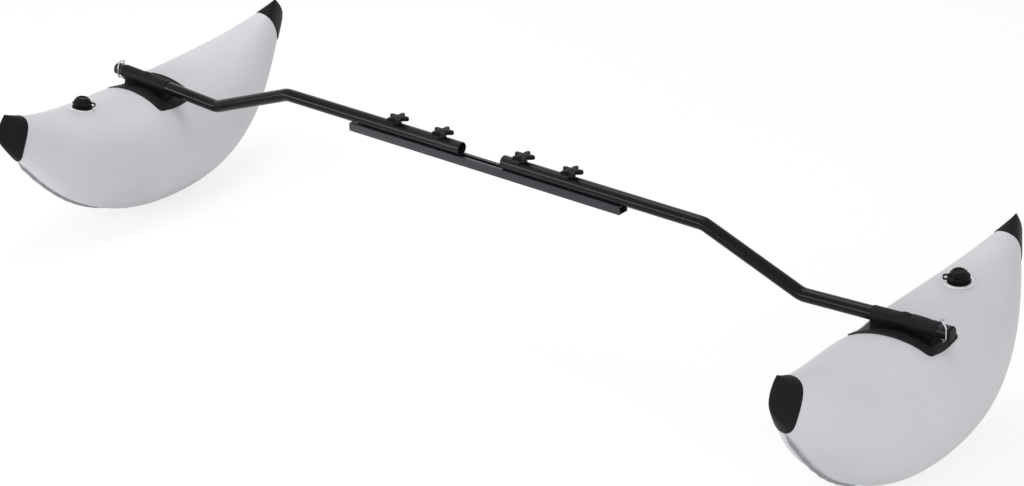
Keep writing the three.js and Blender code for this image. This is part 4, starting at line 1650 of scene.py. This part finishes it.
@dataclass
class AirValve:
    """The valve on the deck: its weld ring, body, screw cap and tether."""

    lines: FloatLines
    places: Places
    ring_radius: float = 0.029
    ring_wall: float = 0.001
    flange_radius: float = 0.0225
    flange_height: float = 0.004
    flange_root: float = -0.003
    flange_edge: float = 0.0012
    neck_radius: float = 0.015
    neck_height: float = 0.015
    stem_radius: float = 0.012
    stem_depth: float = 0.018
    bead_rise: float = 1.45
    rib_size: tuple[float, float, float] = (0.0026, 0.0009, 0.0005)
    rib_count: float = 60.0
    bore_radius: float = 0.009
    cap_top: float = 0.024
    cap_skirt: float = 0.0075
    skirt_radius: float = 0.0194
    rim_foot: float = 0.0096
    rim_radius: float = 0.0220
    rim_top: float = 0.0128
    dome_radius: float = 0.0168
    dome_shoulder: float = 0.0045
    dish_depth: float = 0.0018
    cap_edge: float = 0.0014
    grip_edge: float = 0.0004
    grip_depth: float = 0.0014
    grip_width: float = 0.0032
    grip_count: float = 12.0
    tether_rim: float = 0.0198
    tether_thickness: float = 0.002
    tether_width: float = 0.006
    tether_reach: float = 0.0298
    tether_top: float = 0.0150
    tether_turn: float = math.radians(206.5)
    tether_bend: float = 0.0038
    tether_edges: Pair = (0.0004, 0.0006)
    bend_step: float = math.radians(10.0)
    sides: int = 72

    def build(self, grips: Pattern, ribs: Pattern) -> None:
        """Makes the valve.

        Args:
            grips: The pattern of ribs round the cap.
            ribs: The pattern of ribs on the weld ring.
        """
        self.build_ring(ribs)
        self.build_body()
        self.build_cap(grips)
        self.build_tether()

    def on_deck(self, rings: np.ndarray, offsets: Sequence[float]) -> np.ndarray:
        """Drops rings, made round the valve's axis, onto surfaces over the skin.

        Args:
            rings: The rings in the valve's frame.
            offsets: The distance out from the skin for each ring.

        Returns:
            The rings in the float's frame.
        """
        placed = self.in_float(rings)
        for ring, offset in zip(placed, offsets):
            ring[:, 2] = self.lines.height(ring[:, 0], ring[:, 1], offset)
        return placed

    def in_float(self, points: np.ndarray) -> np.ndarray:
        """Points of the valve's frame in the float's frame."""
        valve = self.places.valve
        return points @ np.array(valve.to_3x3()).T + np.array(valve.translation)

    def place(self, piece: Piece, finish: Finish, body: str, *nodes: str) -> None:
        """Moves a piece from the valve's frame to its place and dresses it."""
        self.places.put(piece, self.places.float @ self.places.valve, finish, body, *nodes)

    def build_ring(self, ribs: Pattern) -> None:
        """Makes the pale ring that is welded to the deck, and its radial ribs.

        Args:
            ribs: The pattern of ribs.
        """
        base, top = FILM, GAP + self.ring_wall
        hole = self.stem_radius + GAP
        edge, rim = self.ring_wall, self.ring_radius
        bead, crest = self.flange_radius + edge, top * self.bead_rise
        profile = [(hole, base), (hole, top), (self.flange_radius + GAP, top), (bead, crest),
                   (bead + edge, crest), (bead + edge * 1.6, top), (rim - edge * 2, top),
                   (rim - edge, top * 0.9), (rim - edge * 0.3, top * 0.6), (rim, base)]
        flat = turned([(radius, 0.0) for radius, _ in profile], self.sides)
        rings = self.on_deck(flat, [offset for _, offset in profile])
        ring = lofted(self.places.name("pale_weld_ring"), rings, Cut.LOOPED)
        self.places.put(ring, self.places.float, CLEAR_PVC, "float_body", "weld_ring")
        depth, width, height = self.rib_size
        sizes = {"Radius": (bead + rim) / 2, "Height": 0.0, "Count": self.rib_count,
                 "Rib Depth": depth, "Rib Width": width, "Rib Height": height}
        laid = ribs.run(self.places.name("weld_ring_ribs"), ring, sizes)
        upright = np.array([vertex.co for vertex in laid.data.vertices])
        spots = self.in_float(upright)
        spots[:, 2] = self.lines.height(spots[:, 0], spots[:, 1], top) + upright[:, 2]
        laid.data.vertices.foreach_set("co", spots.ravel())
        self.places.put(laid, self.places.float, CLEAR_PVC, "float_body")

    def build_body(self) -> None:
        """Makes the flange, neck and stem, with the bore through them."""
        stem, top, root = self.stem_radius, self.flange_height, self.flange_root
        profile = [(stem, -self.stem_depth), (stem, root), (self.flange_radius, root)]
        round_top = [(self.flange_radius, 0.0), (self.flange_radius, top), (self.neck_radius, top),
                     (self.neck_radius, self.neck_height), (self.bore_radius, self.neck_height)]
        profile += rounded(round_top, self.flange_edge)[1:-1]
        profile += [(self.bore_radius, self.neck_height), (self.bore_radius, -self.stem_depth)]
        body = lofted(self.places.name("valve_flange"), turned(profile, self.sides), Cut.LOOPED)
        self.place(body, PLASTIC, "float_body", "valve_body")

    def build_cap(self, grips: Pattern) -> None:
        """Makes the screw cap and the ribs round it.

        Args:
            grips: The pattern of ribs.
        """
        inside, dome = self.neck_radius + GAP, self.dome_radius
        skirt, rim = self.skirt_radius, self.rim_radius
        roof, top, foot = self.neck_height + GAP, self.cap_top, self.rim_top + self.grip_depth
        shoulder, dish = top - self.dome_shoulder, self.dish_depth
        profile = [(dome / 20, roof), (inside, roof), (inside, self.cap_skirt), (skirt, self.cap_skirt),
                   (skirt, self.rim_foot), (rim, self.rim_foot), (rim, self.rim_top), (dome, foot),
                   (dome * 0.96, shoulder), (dome * 0.76, top), (dome * 0.52, top),
                   (dome * 0.46, top - dish), (dome / 20, top - dish * 0.8)]
        outline = rounded(profile, self.cap_edge, steps=5)
        cap = lofted(self.places.name("screw_cap"), turned(outline, self.sides))
        sizes = {"Radius": dome * 0.98, "Height": (foot + shoulder) / 2, "Count": self.grip_count,
                 "Rib Depth": 2 * self.grip_depth, "Rib Width": self.grip_width,
                 "Rib Height": shoulder - foot}
        laid = grips.run(self.places.name("cap_grips"), cap, sizes)
        softened(laid, self.grip_edge)
        self.place(cap, PLASTIC, "valve_cap_body", "valve_cap")
        self.place(laid, PLASTIC, "valve_cap_body")

    def build_tether(self) -> None:
        """Makes the ring round the neck and the strap that loops out and back to the cap."""
        low, high = self.flange_height + GAP, self.cap_skirt - GAP
        radius, inside = self.tether_rim, self.neck_radius + GAP
        ring_edge, strap_edge = self.tether_edges
        band = [(radius, low), (radius, high), (inside, high), (inside, low)]
        loop = rounded(band, ring_edge, closed=True)
        ring = lofted("tether_ring", turned(loop, self.sides), Cut.LOOPED)
        middle, top = (low + high) / 2, self.tether_top
        corners = [(radius - self.tether_thickness / 2, 0.0, middle), (self.tether_reach, 0.0, middle),
                   (self.tether_reach, 0.0, top), (self.dome_radius + GAP, 0.0, top)]
        path = bent_path(corners, [self.tether_bend] * 2, self.bend_step)
        x, y = self.tether_thickness / 2, self.tether_width / 2
        section = rounded([(y, x), (-y, x), (-y, -x), (y, -x)], strap_edge, steps=3, closed=True)
        strap = lofted("tether_strap", swept(path, section, (0.0, 1.0, 0.0)))
        strap.data.transform(Matrix.Rotation(self.tether_turn, 4, "Z"))
        tether = merged(self.places.name("cap_tether"), [ring, strap])
        self.place(tether, PLASTIC, "valve_cap_body", "valve_tether")


# The room


@dataclass(frozen=True)
class Lamp:
    """A soft lamp with a rectangular face, aimed at the middle of the object."""

    name: str
    place: tuple[float, float, float]
    width: float
    height: float
    power: float

    def build(self) -> None:
        """Makes the lamp."""
        light = bpy.data.lights.new(self.name, "AREA")
        light.shape = "RECTANGLE"
        light.size = self.width
        light.size_y = self.height
        light.energy = self.power
        lamp = bpy.data.objects.new(self.name, light)
        bpy.context.scene.collection.objects.link(lamp)
        lamp.location = self.place
        lamp.rotation_euler = (-Vector(self.place)).to_track_quat("-Z", "Y").to_euler()


LAMPS = (
    Lamp("overhead_lamp", (-0.9, 0.4, 3.1), width=1.5, height=1.5, power=26.0),
    Lamp("front_lamp", (-2.3, -3.2, 0.8), width=3.4, height=0.7, power=62.0),
    Lamp("right_lamp", (3.5, -2.0, 1.5), width=2.4, height=2.4, power=32.0),
)


@dataclass
class Studio:
    """The pale floor, the lamps, the world and the camera."""

    floor_half_size: float = 30.0
    floor_colour: Colour = (226, 226, 226)
    floor_roughness: float = 0.9
    floor_glow: float = 0.66
    glow_strength: float = 1.18
    white: Colour = (255, 255, 255)
    world_strength: float = 0.57
    sensor_width: float = 36.0
    far_clip: float = 100.0
    lens: float = 85.48
    camera_place: Pair = (2.935883, -3.504052)
    camera_over_arms: float = 2.011825
    azimuth: float = math.radians(39.25)
    elevation: float = math.radians(25.84)
    roll: float = math.radians(-1.16)

    def build(self) -> None:
        """Makes the room."""
        self.build_floor()
        self.build_world()
        for lamp in LAMPS:
            lamp.build()
        self.build_camera()

    def seen(self, canvas: Canvas) -> Socket:
        """Tells what is seen from what only gives light.

        Args:
            canvas: The nodes of a material or the world.

        Returns:
            1 for what the camera, a mirror or clear material sees directly, otherwise 0.
        """
        rays = canvas.add("ShaderNodeLightPath")
        mirrored = canvas.sum("MAXIMUM", rays.outputs["Is Camera Ray"], rays.outputs["Is Glossy Ray"])
        return canvas.sum("MAXIMUM", mirrored, rays.outputs["Is Transmission Ray"])

    def build_floor(self) -> None:
        """Makes the floor, which glows white to the eye but keeps the object's shadow."""
        size = self.floor_half_size
        points = np.array([(-size, -size, 0.0), (size, -size, 0.0), (size, size, 0.0), (-size, size, 0.0)])
        mesh = bpy.data.meshes.new("floor")
        mesh.from_pydata(points.tolist(), [], [(0, 1, 2, 3)])
        floor = bpy.data.objects.new("floor", mesh)
        bpy.context.scene.collection.objects.link(floor)
        material = bpy.data.materials.new("studio_floor")
        material.use_nodes = True
        canvas = Canvas(material.node_tree)
        shader = material.node_tree.nodes["Principled BSDF"]
        shader.inputs["Base Color"].default_value = linear(self.floor_colour)
        shader.inputs["Roughness"].default_value = self.floor_roughness
        shine = {"Color": linear(self.white), "Strength": self.glow_strength}
        glow = canvas.add("ShaderNodeEmission", shine)
        share = canvas.sum("MULTIPLY", self.seen(canvas), self.floor_glow)
        mixed = canvas.add("ShaderNodeMixShader", {0: share, 1: shader.outputs[0], 2: glow.outputs[0]})
        output = material.node_tree.nodes["Material Output"]
        material.node_tree.links.new(mixed.outputs[0], output.inputs["Surface"])
        mesh.materials.append(material)

    def build_world(self) -> None:
        """Makes the even light from all round, seen as white."""
        world = bpy.data.worlds.new("studio")
        bpy.context.scene.world = world
        world.use_nodes = True
        canvas = Canvas(world.node_tree)
        ambient = world.node_tree.nodes["Background"]
        ambient.inputs["Color"].default_value = linear(self.white)
        ambient.inputs["Strength"].default_value = self.world_strength
        plain = canvas.add("ShaderNodeBackground", {"Color": linear(self.white), "Strength": 1.0})
        choice = {0: self.seen(canvas), 1: ambient.outputs[0], 2: plain.outputs[0]}
        mixed = canvas.add("ShaderNodeMixShader", choice)
        output = world.node_tree.nodes["World Output"]
        world.node_tree.links.new(mixed.outputs[0], output.inputs["Surface"])

    def build_camera(self) -> None:
        """Puts the camera where the photograph was taken from."""
        camera = bpy.data.cameras.new("photo_camera")
        camera.sensor_width = self.sensor_width
        camera.lens = self.lens
        camera.clip_end = self.far_clip
        holder = bpy.data.objects.new("photo_camera", camera)
        bpy.context.scene.collection.objects.link(holder)
        upright = math.pi / 2 - self.elevation
        turn = Matrix.Rotation(self.azimuth, 4, "Z") @ Matrix.Rotation(upright, 4, "X")
        place = Vector((*self.camera_place, arm_axis_height() + self.camera_over_arms))
        holder.matrix_world = Matrix.Translation(place) @ turn @ Matrix.Rotation(self.roll, 4, "Z")
        bpy.context.scene.camera = holder


def main() -> None:
    """Builds the outrigger and its room, and reports each piece."""
    logging.basicConfig(level=logging.INFO, format="%(message)s")
    bpy.context.scene.view_settings.view_transform = "Standard"
    Studio().build()
    run, lines = ArmRun(), FloatLines()
    BaseRail().build()
    bars, lozenges = weld_bar_pattern(), lozenge_pattern()
    grips, ribs = ring_rib_pattern("cap_grips", PLASTIC), ring_rib_pattern("ring_ribs", CLEAR_PVC)
    for side in Side:
        places = Places(side, run, lines, CrossArm.pin_place)
        CrossArm(run, places).build()
        for word, place in zip(("inner", "outer"), CrossArm.knob_places):
            ClampKnob(places, word, place).build()
        LockPin(run, places).build()
        InflatedFloat(lines, places).build(bars)
        DeckPatch(lines, places).build(lozenges)
        TubeSleeve(lines, run, places).build()
        AirValve(lines, places).build(grips, ribs)


if __name__ == "__main__":
    main()
